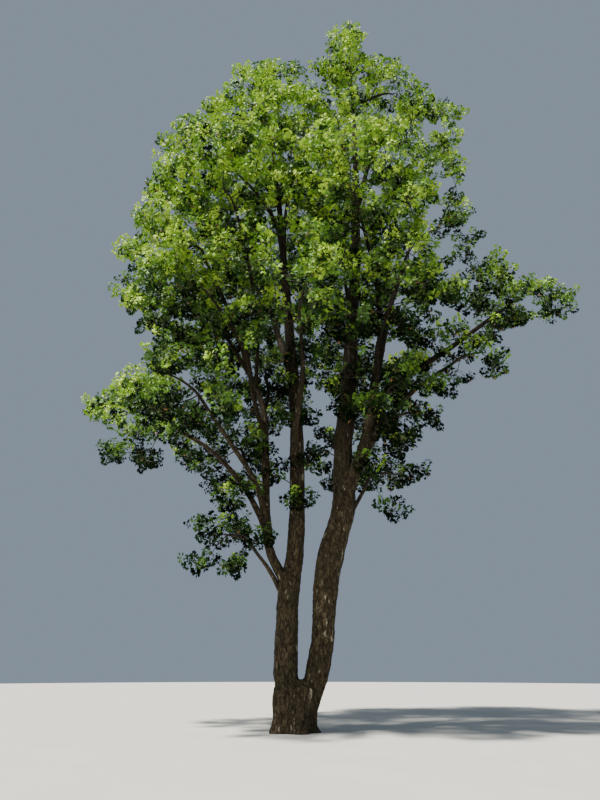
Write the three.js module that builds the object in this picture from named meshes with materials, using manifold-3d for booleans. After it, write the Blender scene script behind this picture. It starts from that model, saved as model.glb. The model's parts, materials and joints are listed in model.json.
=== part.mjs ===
// A large twin-stemmed maple tree, rooted in level ground: trunk, four stems, boughs and foliage.
// Millimetres, +Z up, +X to the right and +Y to the back, origin in the flat cut under the trunk.
import * as THREE from "three";
import { mergeVertices } from "three/addons/utils/BufferGeometryUtils.js";
import Module from "manifold-3d";

const wasm = await Module();
wasm.setup();

// Trunk below the fork: height, middle in x, half width, half depth, swelling of the roots
const TRUNK_SECTIONS = [
  [0, 20, 660, 600, 100],
  [160, 5, 585, 540, 60],
  [450, 30, 600, 520, 28],
  [780, 85, 670, 490, 12],
  [1080, 170, 690, 420, 0],
  [1290, 210, 420, 260, 0],
];
const ROOTS = 5;
const TRUNK_SIDES = 20;
const STEM_JOINT_HEIGHT = 1750;

// Centre lines of the stems and of the one long bough: x, y, height, diameter
const LEFT_STEM = [
  [-60, 20, 350, 600],
  [-190, 30, 1500, 670],
  [-180, 40, 2460, 650],
  [-120, 60, 3600, 610],
  [70, 80, 4900, 500],
  [100, 60, 7400, 440],
  [0, 40, 9800, 380],
  [-290, 100, 13500, 280],
  [-560, 60, 17000, 190],
  [-900, 80, 20300, 100],
];
const RIGHT_STEM = [
  [230, 0, 350, 560],
  [640, -20, 1370, 650],
  [830, -30, 2460, 650],
  [910, -40, 3600, 710],
  [1080, -60, 4600, 760],
  [1480, -60, 6000, 700],
  [1500, 0, 7500, 560],
  [1740, 60, 9800, 520],
  [1890, 60, 11600, 440],
  [2150, 0, 15500, 320],
  [2270, -40, 19600, 200],
  [2230, 0, 23300, 90],
];
const OUTER_STEM = [
  [1490, -60, 6350, 380],
  [2030, -180, 7450, 400],
  [2330, -280, 8500, 370],
  [2700, -300, 10600, 290],
  [3200, -200, 12700, 190],
  [3750, -100, 14300, 120],
];
const SIDE_STEM = [
  [-110, 60, 3650, 260],
  [-740, 0, 4900, 270],
  [-850, -60, 7000, 240],
  [-1050, 0, 9400, 190],
  [-2300, 350, 11900, 110],
];
const LONG_BOUGH = [
  [2330, -280, 8450, 200],
  [3000, -420, 9650, 215],
  [4900, -520, 10950, 170],
  [6700, -420, 12350, 110],
];

// Tiers of the crown: how far the furthest leaf reaches to each side, and at what height.
// half holds half the size of one mass outwards, across and upwards, and rise is the boughs' slope.
const TIERS = [
  {
    name: "lower",
    azimuths: [60, 122, 180, 226, 322],
    reach: { right: 5200, back: 6000, left: 6900, front: 6000 },
    height: { right: 9200, back: 8800, left: 9000, front: 8500 },
    half: [2000, 2150, 1700],
    rise: 1.0,
  },
  {
    name: "middle",
    azimuths: [50, 105, 178, 228, 274, 318],
    reach: { right: 6200, back: 6600, left: 6000, front: 5900 },
    height: { right: 12300, back: 12200, left: 12600, front: 11000 },
    half: [2050, 2100, 1800],
    rise: 1.1,
  },
  {
    name: "upper",
    azimuths: [0, 62, 120, 180, 238, 300],
    reach: { right: 7000, back: 6500, left: 6700, front: 5600 },
    height: { right: 15900, back: 15900, left: 15300, front: 14700 },
    half: [2250, 2400, 2000],
    rise: 1.3,
  },
  {
    name: "high",
    azimuths: [0, 95, 185, 285],
    reach: { right: 6700, back: 5400, left: 5700, front: 3400 },
    height: { right: 20000, back: 19300, left: 18900, front: 18300 },
    half: [2300, 2750, 2050],
    rise: 1.6,
  },
  {
    name: "top",
    azimuths: [0, 95, 180],
    reach: { right: 5650, back: 3500, left: 3600, front: 2000 },
    height: { right: 22500, back: 21900, left: 21900, front: 21500 },
    half: [2150, 2300, 1950],
    rise: 1.6,
  },
];

// Masses away from the tiers: middle, and half sizes along x, y and z
const OWN_MASSES = [
  { name: "leader", middle: [2200, 200, 24750], half: [1500, 1350, 1880], upright: true },
  { name: "long_right", middle: [7750, -420, 13150], half: [2100, 1700, 1600] },
  { name: "under_long", middle: [5650, -1100, 10550], half: [1450, 1350, 1150] },
  { name: "lower_right", middle: [3650, 250, 9100], half: [1600, 1900, 1500] },
  { name: "low_right", middle: [3050, 0, 7000], half: [1500, 1500, 1450] },
  { name: "low_left", middle: [-1950, -350, 5100], half: [1500, 1600, 1550] },
];

// Masses that sit at a limb's tip or on a stem's side, and boughs whose foot has a height of its own.
// Every other mass has a bough from the stem that suits it best.
const AT_TIP = {
  leader: "right_stem",
  top_left: "left_stem",
  upper_right: "outer_stem",
  middle_left: "side_stem",
  long_right: "bough_long_right",
};
const ON_SIDE = {
  lower_right: "outer_stem",
  top_right: "right_stem",
  top_back: "right_stem",
  high_front: "right_stem",
};
const FEET = {
  under_long: ["outer_stem", 7300],
  low_right: ["right_stem", 4300],
  low_left: ["left_stem", 3000],
};

// Limbs
const STEM_SIDES = 8;
const STEM_STEPS = 13;
const BRANCH_STEPS = 6;
const BOUGH_SIDES = 6;
const BOUGH_STEPS = 4;
const BOUGH_TIP_RADIUS = 50;
const BOUGH_GROWTH = 0.018;
const BOUGH_SHARE_OF_STEM = 0.75;
const BOUGH_BENDS = [
  [0.27, 0.4],
  [0.62, 0.74],
];
const BOUGH_SWAY = 0.035;
const BOUGH_ENTRY = 0.6;
const BOUGH_DROP = 0.3;
const BOUGH_SPACING = 40;
const SAMPLES_PER_STEP = 12;
const FOOT_SLIDE = 260;
const FOOT_TRIES = 12;
const LOWEST_FOOT = 950;
const SLOPE_WEIGHT = 0.5;
const SLOPE_PASSES = 8;
const SIDE_SEAT_RADIUS = 70;
const SIDE_SEAT_DROP = 0.5;
const CLEARANCE = 0.35;
const LIMB_MARGIN = 25;
const SPACE_MARGIN = 12;

// Leaves each stand for a spray of real ones, so they are larger than life
const LEAF_LENGTH = 1350;
const LEAF_WIDTH = 1300;
const LEAF_THICKNESS = 32;
const LEAF_SHOULDER = 0.42;
const LEAF_VARIATION = 0.12;
const LEAF_SHARE_OF_SPRAY = 0.86;
const SHORTEST_LEAF = 0.72;
const LEAF_LEAN = 1.8;
const LEAF_TILT = 0.8;
const SIDE_LEAF_SIZE = 0.95;
const PAIRS = 3;
const PAIR_SPACING = 330;
const FIRST_PAIR = 0.6;
const PAIR_STAGGER = 0.2;
const LEAST_TURN = 0.75;
const MOST_TURN = 1.15;

// Twigs, and the stretch of each from which others may spring
const TWIG_RADIUS = 18;
const TWIG_END_RADIUS = 4;
const TWIG_INTO_LEAF = 0.25;
const TWIG_FREE_FROM = 0.1;
const TWIG_MARGIN = 70;
const STEM_TAPER = [1, 0.85, 0.65];
const STEM_PAST_MIDDLE = 0.2;
const PIPE_POWER = 2.3;
const FIRST_SPRINGS = [0.5, 0.9];
const STEM_SPRINGS = [0.1, 0.9];
const TWIG_SPRINGS = [0.25, 0.7];
const SPRING_STEP = 0.15;
const PATH_WEIGHT = 0.35;

// Sprays
const SPRAYS_PER_SQUARE_METRE = 0.9;
const LEAST_SPRAYS = 4;
const INNER_DEPTH = 0.8;
const CANDIDATES = 60;
const SPREAD_WORTH = 0.001;

const BOUGH_SEED = 1000;
const FOLIAGE_SEED = 5000;
const SQUARE_METRE = 1e6;
const UP = new THREE.Vector3(0, 0, 1);

const bark = new THREE.MeshStandardMaterial({ color: 0x6b6154, roughness: 0.95, metalness: 0 });
const foliage = new THREE.MeshStandardMaterial({ color: 0x6f9a2e, roughness: 0.6, metalness: 0 });

const vec = (x, y, z) => new THREE.Vector3(x, y, z);
const mix = THREE.MathUtils.lerp;
const along = (from, way, distance) => from.clone().addScaledVector(way, distance);

// A seeded source of even numbers from 0 to 1
function randomNumbers(seed) {
  let state = seed >>> 0;
  return () => {
    state = (state + 0x6d2b79f5) >>> 0;
    let t = Math.imul(state ^ (state >>> 15), state | 1);
    t ^= t + Math.imul(t ^ (t >>> 7), t | 61);
    return ((t ^ (t >>> 14)) >>> 0) / 4294967296;
  };
}

function randomDirection(random) {
  const z = 2 * random() - 1;
  const angle = 2 * Math.PI * random();
  const flat = Math.sqrt(1 - z * z);
  return vec(flat * Math.cos(angle), flat * Math.sin(angle), z);
}

function solidOf(geometry) {
  const bare = geometry.clone();
  bare.deleteAttribute("normal");
  bare.deleteAttribute("uv");
  const merged = mergeVertices(bare, 1e-3);
  return new wasm.Manifold(
    new wasm.Mesh({
      numProp: 3,
      vertProperties: new Float32Array(merged.attributes.position.array),
      triVerts: new Uint32Array(merged.index.array),
    }),
  );
}

function meshOf(name, solid, material) {
  const data = solid.getMesh();
  const geometry = new THREE.BufferGeometry();
  geometry.setAttribute("position", new THREE.BufferAttribute(data.vertProperties, 3));
  geometry.setIndex(new THREE.BufferAttribute(data.triVerts, 1));
  geometry.computeVertexNormals();
  const mesh = new THREE.Mesh(geometry, material);
  mesh.name = name;
  return mesh;
}

// The largest body of a solid: loose scraps and sealed hollows are dropped
function largestBody(solid) {
  return solid.decompose().reduce((best, body) => (body.volume() > best.volume() ? body : best));
}

// True where a solid meets any of the bodies
function touches(solid, bodies) {
  const box = solid.boundingBox();
  return bodies.some(({ body, bounds }) => {
    for (let k = 0; k < 3; k++)
      if (box.min[k] > bounds.max[k] || box.max[k] < bounds.min[k]) return false;
    return !solid.intersect(body).isEmpty();
  });
}

const withBounds = (body) => ({ body, bounds: body.boundingBox() });

// A closed skin over rings of points that all have the same number of corners
function loft(rings) {
  const sides = rings[0].length;
  const points = rings.flat();
  const last = (rings.length - 1) * sides;
  const faces = [];
  for (let ring = 0; ring < last; ring += sides)
    for (let k = 0; k < sides; k++) {
      const next = (k + 1) % sides;
      faces.push(ring + k, ring + next, ring + sides + next);
      faces.push(ring + k, ring + sides + next, ring + sides + k);
    }
  if (sides === 3) {
    faces.push(0, 2, 1, last, last + 1, last + 2);
  } else {
    const middle = (ring) => ring.reduce((sum, p) => sum.add(p), vec(0, 0, 0)).divideScalar(sides);
    const foot = points.push(middle(rings[0])) - 1;
    const head = points.push(middle(rings[rings.length - 1])) - 1;
    for (let k = 0; k < sides; k++) {
      const next = (k + 1) % sides;
      faces.push(foot, next, k, head, last + k, last + next);
    }
  }
  const geometry = new THREE.BufferGeometry().setFromPoints(points);
  geometry.setIndex(faces);
  return solidOf(geometry);
}

function tangentAt(points, i) {
  const before = points[Math.max(i - 1, 0)];
  const after = points[Math.min(i + 1, points.length - 1)];
  return after.clone().sub(before).normalize();
}

// Rings square to a line of points, turned as little as possible from one to the next
function ringsAlong(points, radii, sides, grow = 0) {
  let across = Math.abs(tangentAt(points, 0).x) < 0.9 ? vec(1, 0, 0) : vec(0, 1, 0);
  const last = points.length - 1;
  return points.map((point, i) => {
    const tangent = tangentAt(points, i);
    across = along(across, tangent, -across.dot(tangent)).normalize();
    const other = tangent.clone().cross(across);
    const past = i === 0 ? -grow : i === last ? grow : 0;
    const middle = along(point, tangent, past);
    const ring = [];
    for (let k = 0; k < sides; k++) {
      const angle = (2 * Math.PI * k) / sides;
      const radius = radii[i] + grow;
      const corner = along(middle, across, radius * Math.cos(angle));
      ring.push(corner.addScaledVector(other, radius * Math.sin(angle)));
    }
    return ring;
  });
}

// A limb is a smooth tapering centre line through its rows
function limbThrough(name, rows, steps, sides, parent = null) {
  const line = rows.map(([x, y, z]) => vec(x, y, z));
  const curve = new THREE.CatmullRomCurve3(line, false, "catmullrom", 0.5);
  const points = curve.getPoints(steps);
  const radii = points.map((_, i) => {
    const share = (i / steps) * (rows.length - 1);
    const row = Math.min(Math.floor(share), rows.length - 2);
    return mix(rows[row][3], rows[row + 1][3], share - row) / 2;
  });
  return { name, points, radii, sides, parent };
}

const limbSolid = (limb, grow = 0) => loft(ringsAlong(limb.points, limb.radii, limb.sides, grow));

function placeAtHeight({ points, radii }, height) {
  let i = 0;
  while (i < points.length - 2 && points[i + 1].z < height) i++;
  const share = THREE.MathUtils.clamp((height - points[i].z) / (points[i + 1].z - points[i].z), 0, 1);
  return {
    point: points[i].clone().lerp(points[i + 1], share),
    radius: mix(radii[i], radii[i + 1], share),
  };
}

// A bough rises steeply from its parent, then leans out towards its tip
function boughTo(name, parent, footHeight, tip, seed) {
  const random = randomNumbers(seed);
  const foot = placeAtHeight(parent, footHeight);
  const span = tip.clone().sub(foot.point);
  const length = span.length();
  const footRadius = Math.min(BOUGH_TIP_RADIUS + BOUGH_GROWTH * length, foot.radius * BOUGH_SHARE_OF_STEM);
  const sway = () => (random() - 0.5) * 2 * BOUGH_SWAY * length;
  const bends = BOUGH_BENDS.map(([out, up]) => {
    const bend = vec(span.x * out + sway(), span.y * out + sway(), span.z * up + sway());
    return bend.add(foot.point);
  });
  const line = [foot.point, ...bends, tip];
  const rows = line.map((p, i) => [...p, 2 * mix(footRadius, BOUGH_TIP_RADIUS, i / (line.length - 1))]);
  return limbThrough(name, rows, BOUGH_STEPS, BOUGH_SIDES, parent);
}

// A limb's points and radii, several to a step
function samplesOf({ points, radii }) {
  const samples = [{ point: points[points.length - 1], radius: radii[radii.length - 1] }];
  for (let i = 0; i < points.length - 1; i++)
    for (let k = 0; k < SAMPLES_PER_STEP; k++) {
      const share = k / SAMPLES_PER_STEP;
      const point = points[i].clone().lerp(points[i + 1], share);
      samples.push({ point, radius: mix(radii[i], radii[i + 1], share) });
    }
  return samples;
}

// True where a bough, once it is out of its parent, stays clear of all the other limbs
function isClear(bough, limbs) {
  const foot = bough.points[0];
  const skin = placeAtHeight(bough.parent, foot.z).radius + BOUGH_SPACING;
  const own = samplesOf(bough).filter(({ point }) => point.distanceTo(foot) > skin);
  const apart = (a, b) => a.point.distanceTo(b.point) > a.radius + b.radius + BOUGH_SPACING;
  return limbs
    .filter((limb) => limb !== bough.parent)
    .every((limb) => samplesOf(limb).every((there) => own.every((here) => apart(here, there))));
}

// Where a bough ends: inside its mass, on the near side and a little below the middle
function boughTip(mass, foot) {
  const inward = foot.clone().sub(mass.middle).setZ(0).normalize();
  return along(mass.middle, inward, mass.half[0] * BOUGH_ENTRY).setZ(
    mass.middle.z - mass.half[2] * BOUGH_DROP,
  );
}

// A bough's foot slides along its stem until the bough is clear of the limbs made before it
function clearBough(mass, stem, height, limbs, seed) {
  let bough = null;
  for (let slide = 0; slide < FOOT_TRIES; slide++) {
    const way = slide % 2 ? 1 : -1;
    const foot = height + way * Math.ceil(slide / 2) * FOOT_SLIDE;
    const tip = boughTip(mass, placeAtHeight(stem, foot).point);
    bough = boughTo("bough_" + mass.name, stem, foot, tip, seed);
    if (isClear(bough, limbs)) return bough;
  }
  throw new Error(bough.name + " finds no clear way");
}

// The stem that suits a mass best, and the height at which its bough has the tier's slope
function bestStem(mass, stems) {
  const run = (stem, height) => {
    const { point } = placeAtHeight(stem, height);
    return Math.hypot(point.x - mass.middle.x, point.y - mass.middle.y);
  };
  const choices = stems.map((stem) => {
    const low = stem.points[0].z + LOWEST_FOOT;
    const high = stem.points[stem.points.length - 2].z;
    let height = mass.middle.z;
    for (let pass = 0; pass < SLOPE_PASSES; pass++)
      height = THREE.MathUtils.clamp(mass.middle.z - mass.rise * run(stem, height), low, high);
    const slope = (mass.middle.z - height) / run(stem, height);
    const distance = placeAtHeight(stem, height).point.distanceTo(mass.middle);
    return { stem, height, cost: distance * (1 + SLOPE_WEIGHT * Math.abs(slope - mass.rise)) };
  });
  return choices.reduce((best, choice) => (choice.cost < best.cost ? choice : best));
}

function sideName(azimuth) {
  const sides = ["right", "back_right", "back", "back_left", "left", "front_left", "front", "front_right"];
  return sides[Math.round(azimuth / 45) % sides.length];
}

// A size that is given for four sides, read at any angle between them
function sizeAt(sizes, angle) {
  const x = Math.cos(angle);
  const y = Math.sin(angle);
  return (x > 0 ? sizes.right : sizes.left) * x * x + (y > 0 ? sizes.back : sizes.front) * y * y;
}

// The masses of foliage: each has a middle, half sizes and the three axes that these lie along
function allMasses() {
  const masses = OWN_MASSES.map((own) => ({
    ...own,
    middle: vec(...own.middle),
    axes: [vec(1, 0, 0), vec(0, 1, 0), UP],
  }));
  for (const { name, azimuths, reach, height, half, rise } of TIERS)
    for (const azimuth of azimuths) {
      const angle = THREE.MathUtils.degToRad(azimuth);
      const out = vec(Math.cos(angle), Math.sin(angle), 0);
      const middle = out.clone().multiplyScalar(sizeAt(reach, angle) - half[0]);
      middle.z = sizeAt(height, angle);
      masses.push({
        name: name + "_" + sideName(azimuth),
        middle,
        half,
        axes: [out, UP.clone().cross(out), UP],
        rise,
      });
    }
  return masses;
}

const meanHalf = ({ half }) => (half[0] + half[1] + half[2]) / 3;

// How far a point lies on a mass's own side of the plane that parts it from a neighbour
function insidePlane(point, mass, other) {
  const way = other.middle.clone().sub(mass.middle);
  const distance = way.length();
  const share = 0.5 + (meanHalf(mass) ** 2 - meanHalf(other) ** 2) / (2 * distance * distance);
  return share * distance - point.clone().sub(mass.middle).dot(way) / distance;
}

// A mass's space is its ellipsoid, cut flat where it meets its neighbours
function isInside(point, mass, masses, margin) {
  const from = point.clone().sub(mass.middle);
  const scaled = mass.axes.map((axis, i) => from.dot(axis) / (mass.half[i] - margin));
  if (scaled.reduce((sum, s) => sum + s * s, 0) > 1) return false;
  return masses.every((other) => other === mass || insidePlane(point, mass, other) > margin);
}

// A leaf is a kite, thickest in the middle, from its root towards its tip
function leafSolid({ root, direction, face, length }) {
  const leaf = new THREE.OctahedronGeometry(1);
  const across = direction.clone().cross(face);
  const size = length / LEAF_LENGTH / 2;
  const position = leaf.attributes.position;
  const corner = vec(0, 0, 0);
  for (let i = 0; i < position.count; i++) {
    corner.fromBufferAttribute(position, i);
    const share = Math.abs(corner.y) < 0.5 ? LEAF_SHOULDER : (corner.y + 1) / 2;
    const place = along(root, direction, share * length)
      .addScaledVector(across, corner.x * LEAF_WIDTH * size)
      .addScaledVector(face, corner.z * LEAF_THICKNESS * size);
    position.setXYZ(i, ...place);
  }
  return solidOf(leaf);
}

function leafCorners({ root, direction, face, length }) {
  const across = direction.clone().cross(face);
  const half = (LEAF_WIDTH * length) / LEAF_LENGTH / 2;
  const shoulder = along(root, direction, LEAF_SHOULDER * length);
  const sides = [along(shoulder, across, half), along(shoulder, across, -half)];
  return [root, along(root, direction, length), ...sides];
}

// The point on the twigs grown so far from which a new twig is shortest,
// counting also a share of the way back to the mass's root
function springFrom(twigs, tip) {
  let best = null;
  twigs.forEach(({ from, to, path, springs: [low, high] }, index) => {
    for (let share = low; share < high + SPRING_STEP / 2; share += SPRING_STEP) {
      const point = from.clone().lerp(to, share);
      const way = path + share * from.distanceTo(to);
      const cost = point.distanceTo(tip) + PATH_WEIGHT * way;
      if (!best || cost < best.cost) best = { cost, point, index, path: way };
    }
  });
  return best;
}

// Where a spray may end: in the outer part of its mass
function sprayTip(mass, random) {
  const way = randomDirection(random).toArray();
  const depth = mix(INNER_DEPTH, 1, Math.sqrt(random()));
  return mass.axes.reduce(
    (tip, axis, i) => tip.addScaledVector(axis, way[i] * depth * (mass.half[i] - 2 * SPACE_MARGIN)),
    mass.middle.clone(),
  );
}

// The outermost point of a mass, or its highest
function furthestTip(mass) {
  const k = mass.upright ? 2 : 0;
  return along(mass.middle, mass.axes[k], mass.half[k] - 2 * SPACE_MARGIN);
}

// A spray: a straight twig with a leaf at its end and pairs of leaves, each pair square to the last
function sprayAt(twigs, tip, random) {
  const spring = springFrom(twigs, tip);
  const reach = tip.distanceTo(spring.point);
  const variation = mix(1 - LEAF_VARIATION, 1 + LEAF_VARIATION, random());
  const length = Math.min(LEAF_LENGTH * variation, reach * LEAF_SHARE_OF_SPRAY);
  if (length < LEAF_LENGTH * SHORTEST_LEAF) return null;
  const direction = tip.clone().sub(spring.point).normalize();
  const lean = along(UP, randomDirection(random), LEAF_LEAN);
  const across = direction.clone().cross(lean).normalize();
  const face = across.clone().cross(direction).normalize();
  const root = along(tip, direction, -length);
  const leaves = [{ root, direction, face, length }];
  for (let pair = 0; pair < PAIRS; pair++) {
    const [sideways, upright] = pair % 2 ? [face, across] : [across, face];
    for (const side of [-1, 1]) {
      const back = PAIR_SPACING * (pair + FIRST_PAIR + PAIR_STAGGER * side);
      if (back > reach - length - LIMB_MARGIN) continue;
      const turn = mix(LEAST_TURN, MOST_TURN, random());
      const way = direction.clone().multiplyScalar(Math.cos(turn));
      way.addScaledVector(sideways, side * Math.sin(turn));
      const tilted = along(upright, direction, (random() - 0.5) * LEAF_TILT);
      leaves.push({
        root: along(root, direction, -back),
        direction: way,
        face: way.clone().cross(tilted.cross(way)).normalize(),
        length: length * SIDE_LEAF_SIZE,
      });
    }
  }
  return { spring, twigEnd: along(root, direction, length * TWIG_INTO_LEAF), leaves };
}

// The stem of a mass leaves its carrier straight on, then turns out through the middle
function massStem(mass, start) {
  const turn = along(start.point, start.direction, start.point.distanceTo(mass.middle) / 2);
  const out = mass.axes[mass.upright ? 2 : 0];
  return [start.point, turn, mass.middle, along(mass.middle, out, STEM_PAST_MIDDLE * mass.half[0])];
}

// The seeded rule: sprays grow one by one where they find room, each the best of its candidates
function growMass(mass, masses, line, limbs, seed) {
  const random = randomNumbers(seed);
  const twigs = [];
  const wood = [];
  const leaves = [];
  const blades = [];
  let path = 0;
  for (let i = 0; i < line.length - 1; i++) {
    const [from, to] = [line[i], line[i + 1]];
    const springs = i ? STEM_SPRINGS : FIRST_SPRINGS;
    twigs.push({ from, to, path, parent: i - 1, springs, load: 0 });
    wood.push(withBounds(loft(ringsAlong([from, to], [LIMB_MARGIN, LIMB_MARGIN], 3))));
    path += from.distanceTo(to);
  }
  const fittingLeaf = (leaf) => {
    if (!leafCorners(leaf).every((p) => isInside(p, mass, masses, SPACE_MARGIN))) return null;
    const solid = leafSolid(leaf);
    return touches(solid, [...limbs, ...wood, ...blades]) ? null : { ...leaf, solid };
  };
  const fittingSpray = (tip) => {
    const spray = isInside(tip, mass, masses, SPACE_MARGIN) && sprayAt(twigs, tip, random);
    if (!spray || !isInside(spray.twigEnd, mass, masses, TWIG_MARGIN)) return null;
    const free = spray.spring.point.clone().lerp(spray.twigEnd, TWIG_FREE_FROM);
    const body = loft(ringsAlong([free, spray.twigEnd], [TWIG_RADIUS, TWIG_RADIUS], 3));
    if (touches(body, [...limbs, ...blades])) return null;
    const fitting = [];
    for (const leaf of spray.leaves) {
      const fits = fittingLeaf(leaf);
      if (!fits && !fitting.length) return null;
      if (fits && fitting.every(({ solid }) => solid.intersect(fits.solid).isEmpty())) fitting.push(fits);
    }
    const ends = leaves.map((leaf) => along(leaf.root, leaf.direction, leaf.length));
    const nearest = Math.min(mass.half[0], ...ends.map((end) => end.distanceTo(tip)));
    return { ...spray, body, leaves: fitting, worth: fitting.length + SPREAD_WORTH * nearest };
  };
  const keep = ({ spring, twigEnd, body, leaves: fitting }) => {
    const { point: from, path: way, index: parent } = spring;
    twigs.push({ from, to: twigEnd, path: way, parent, springs: TWIG_SPRINGS, load: fitting.length });
    wood.push(withBounds(body));
    leaves.push(...fitting);
    blades.push(...fitting.map(({ solid }) => withBounds(solid)));
  };
  const furthest = fittingSpray(furthestTip(mass));
  if (furthest) keep(furthest);
  const area = meanHalf(mass) ** 2 / SQUARE_METRE;
  const wanted = Math.max(Math.round(area * SPRAYS_PER_SQUARE_METRE), LEAST_SPRAYS);
  for (let n = furthest ? 1 : 0; n < wanted; n++) {
    let best = null;
    for (let k = 0; k < CANDIDATES; k++) {
      const spray = fittingSpray(sprayTip(mass, random));
      if (spray && (!best || spray.worth > best.worth)) best = spray;
    }
    if (best) keep(best);
  }
  return { twigs, leaves };
}

// Each twig is as thick as the leaves that it carries ask for, by the pipe rule
function twigSolids(twigs, line, rootRadius) {
  for (let i = twigs.length - 1; i > 0; i--) twigs[twigs[i].parent].load += twigs[i].load;
  const most = rootRadius * STEM_TAPER[2];
  const radius = ({ load }) => Math.min(TWIG_RADIUS * load ** (1 / PIPE_POWER), most);
  const stem = [...STEM_TAPER.map((share) => share * rootRadius), TWIG_RADIUS];
  const branches = twigs.slice(line.length - 1);
  return [
    loft(ringsAlong(line, stem, 3)),
    ...branches.map((twig) => loft(ringsAlong([twig.from, twig.to], [radius(twig), TWIG_END_RADIUS], 3))),
  ];
}

// The start of a mass at the tip of its carrier, just clear of it
function startAtTip(carrier) {
  const last = carrier.points.length - 1;
  const direction = tangentAt(carrier.points, last);
  const point = along(carrier.points[last], direction, CLEARANCE);
  return { point, direction, radius: carrier.radii[last] };
}

// The start of a mass inside a stem, whose own body is cut away afterwards
function startOnSide(stem, mass) {
  const away = mass.middle.distanceTo(placeAtHeight(stem, mass.middle.z).point);
  const foot = placeAtHeight(stem, mass.middle.z - SIDE_SEAT_DROP * away);
  const direction = mass.middle.clone().sub(foot.point).normalize();
  return { point: foot.point, direction, radius: SIDE_SEAT_RADIUS, stem };
}

function massSolid(mass, masses, start, limbs, seed) {
  const line = massStem(mass, start);
  const { twigs, leaves } = growMass(mass, masses, line, limbs, seed);
  const parts = [...twigSolids(twigs, line, start.radius), ...leaves.map(({ solid }) => solid)];
  const joined = wasm.Manifold.union(parts);
  return largestBody(start.stem ? joined.subtract(limbSolid(start.stem, CLEARANCE)) : joined);
}

// The trunk: lobed sections that swell into the roots, joined with the feet of the two main stems
function trunkSolid(feet) {
  const rings = TRUNK_SECTIONS.map(([height, middle, wide, deep, swelling]) => {
    const ring = [];
    for (let k = 0; k < TRUNK_SIDES; k++) {
      const angle = (2 * Math.PI * k) / TRUNK_SIDES;
      const root = swelling * Math.cos(ROOTS * angle);
      ring.push(vec(middle + (wide + root) * Math.cos(angle), (deep + root) * Math.sin(angle), height));
    }
    return ring;
  });
  return wasm.Manifold.union([loft(rings), ...feet]);
}

// A main stem is parted square to itself: its foot belongs to the trunk
function partStem(stem) {
  const cut = stem.points.findIndex((p) => p.z > STEM_JOINT_HEIGHT);
  const rings = ringsAlong(stem.points, stem.radii, stem.sides);
  const foot = loft(rings.slice(0, cut + 1));
  const tangent = tangentAt(stem.points, cut);
  rings[cut] = rings[cut].map((p) => along(p, tangent, CLEARANCE));
  return { foot, upper: loft(rings.slice(cut)) };
}

const leftStem = limbThrough("left_stem", LEFT_STEM, STEM_STEPS, STEM_SIDES);
const rightStem = limbThrough("right_stem", RIGHT_STEM, STEM_STEPS, STEM_SIDES);
const outerStem = limbThrough("outer_stem", OUTER_STEM, BRANCH_STEPS, STEM_SIDES, rightStem);
const sideStem = limbThrough("side_stem", SIDE_STEM, BRANCH_STEPS, STEM_SIDES, leftStem);
const longBough = limbThrough("bough_long_right", LONG_BOUGH, BRANCH_STEPS, STEM_SIDES, outerStem);
const stems = [leftStem, rightStem, outerStem, sideStem];
const limbs = [...stems, longBough];
const limbNamed = Object.fromEntries(limbs.map((limb) => [limb.name, limb]));

const masses = allMasses();
const starts = masses.map((mass, index) => {
  if (AT_TIP[mass.name]) return startAtTip(limbNamed[AT_TIP[mass.name]]);
  if (ON_SIDE[mass.name]) return startOnSide(limbNamed[ON_SIDE[mass.name]], mass);
  const foot = FEET[mass.name];
  const { stem, height } = foot ? { stem: limbNamed[foot[0]], height: foot[1] } : bestStem(mass, stems);
  const bough = clearBough(mass, stem, height, limbs, BOUGH_SEED + index);
  limbs.push(bough);
  return startAtTip(bough);
});

const tree = new THREE.Group();
tree.name = "maple_tree";
const leftParts = partStem(leftStem);
const rightParts = partStem(rightStem);
tree.add(meshOf("trunk", trunkSolid([leftParts.foot, rightParts.foot]), bark));
tree.add(meshOf(leftStem.name, leftParts.upper, bark));
tree.add(meshOf(rightStem.name, rightParts.upper, bark));
for (const limb of limbs.filter(({ parent }) => parent)) {
  const cut = limbSolid(limb).subtract(limbSolid(limb.parent, CLEARANCE));
  tree.add(meshOf(limb.name, largestBody(cut), bark));
}

const grownLimbs = limbs.map((limb) => withBounds(limbSolid(limb, LIMB_MARGIN)));
masses.forEach((mass, index) => {
  const solid = massSolid(mass, masses, starts[index], grownLimbs, FOLIAGE_SEED + index);
  tree.add(meshOf("foliage_" + mass.name, solid, foliage));
});

export default tree;
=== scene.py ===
"""Looks of the maple tree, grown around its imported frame.

Metres, +Z up, +X to the right and +Y to the back, origin in the flat cut under the trunk.
Limbs and masses of foliage have the solids' named sizes and follow their seeded rule, which is
carried on here to finer twigs that hold sprays of five-lobed leaves and clusters of winged seeds.
"""
import itertools
import json
import math

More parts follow.
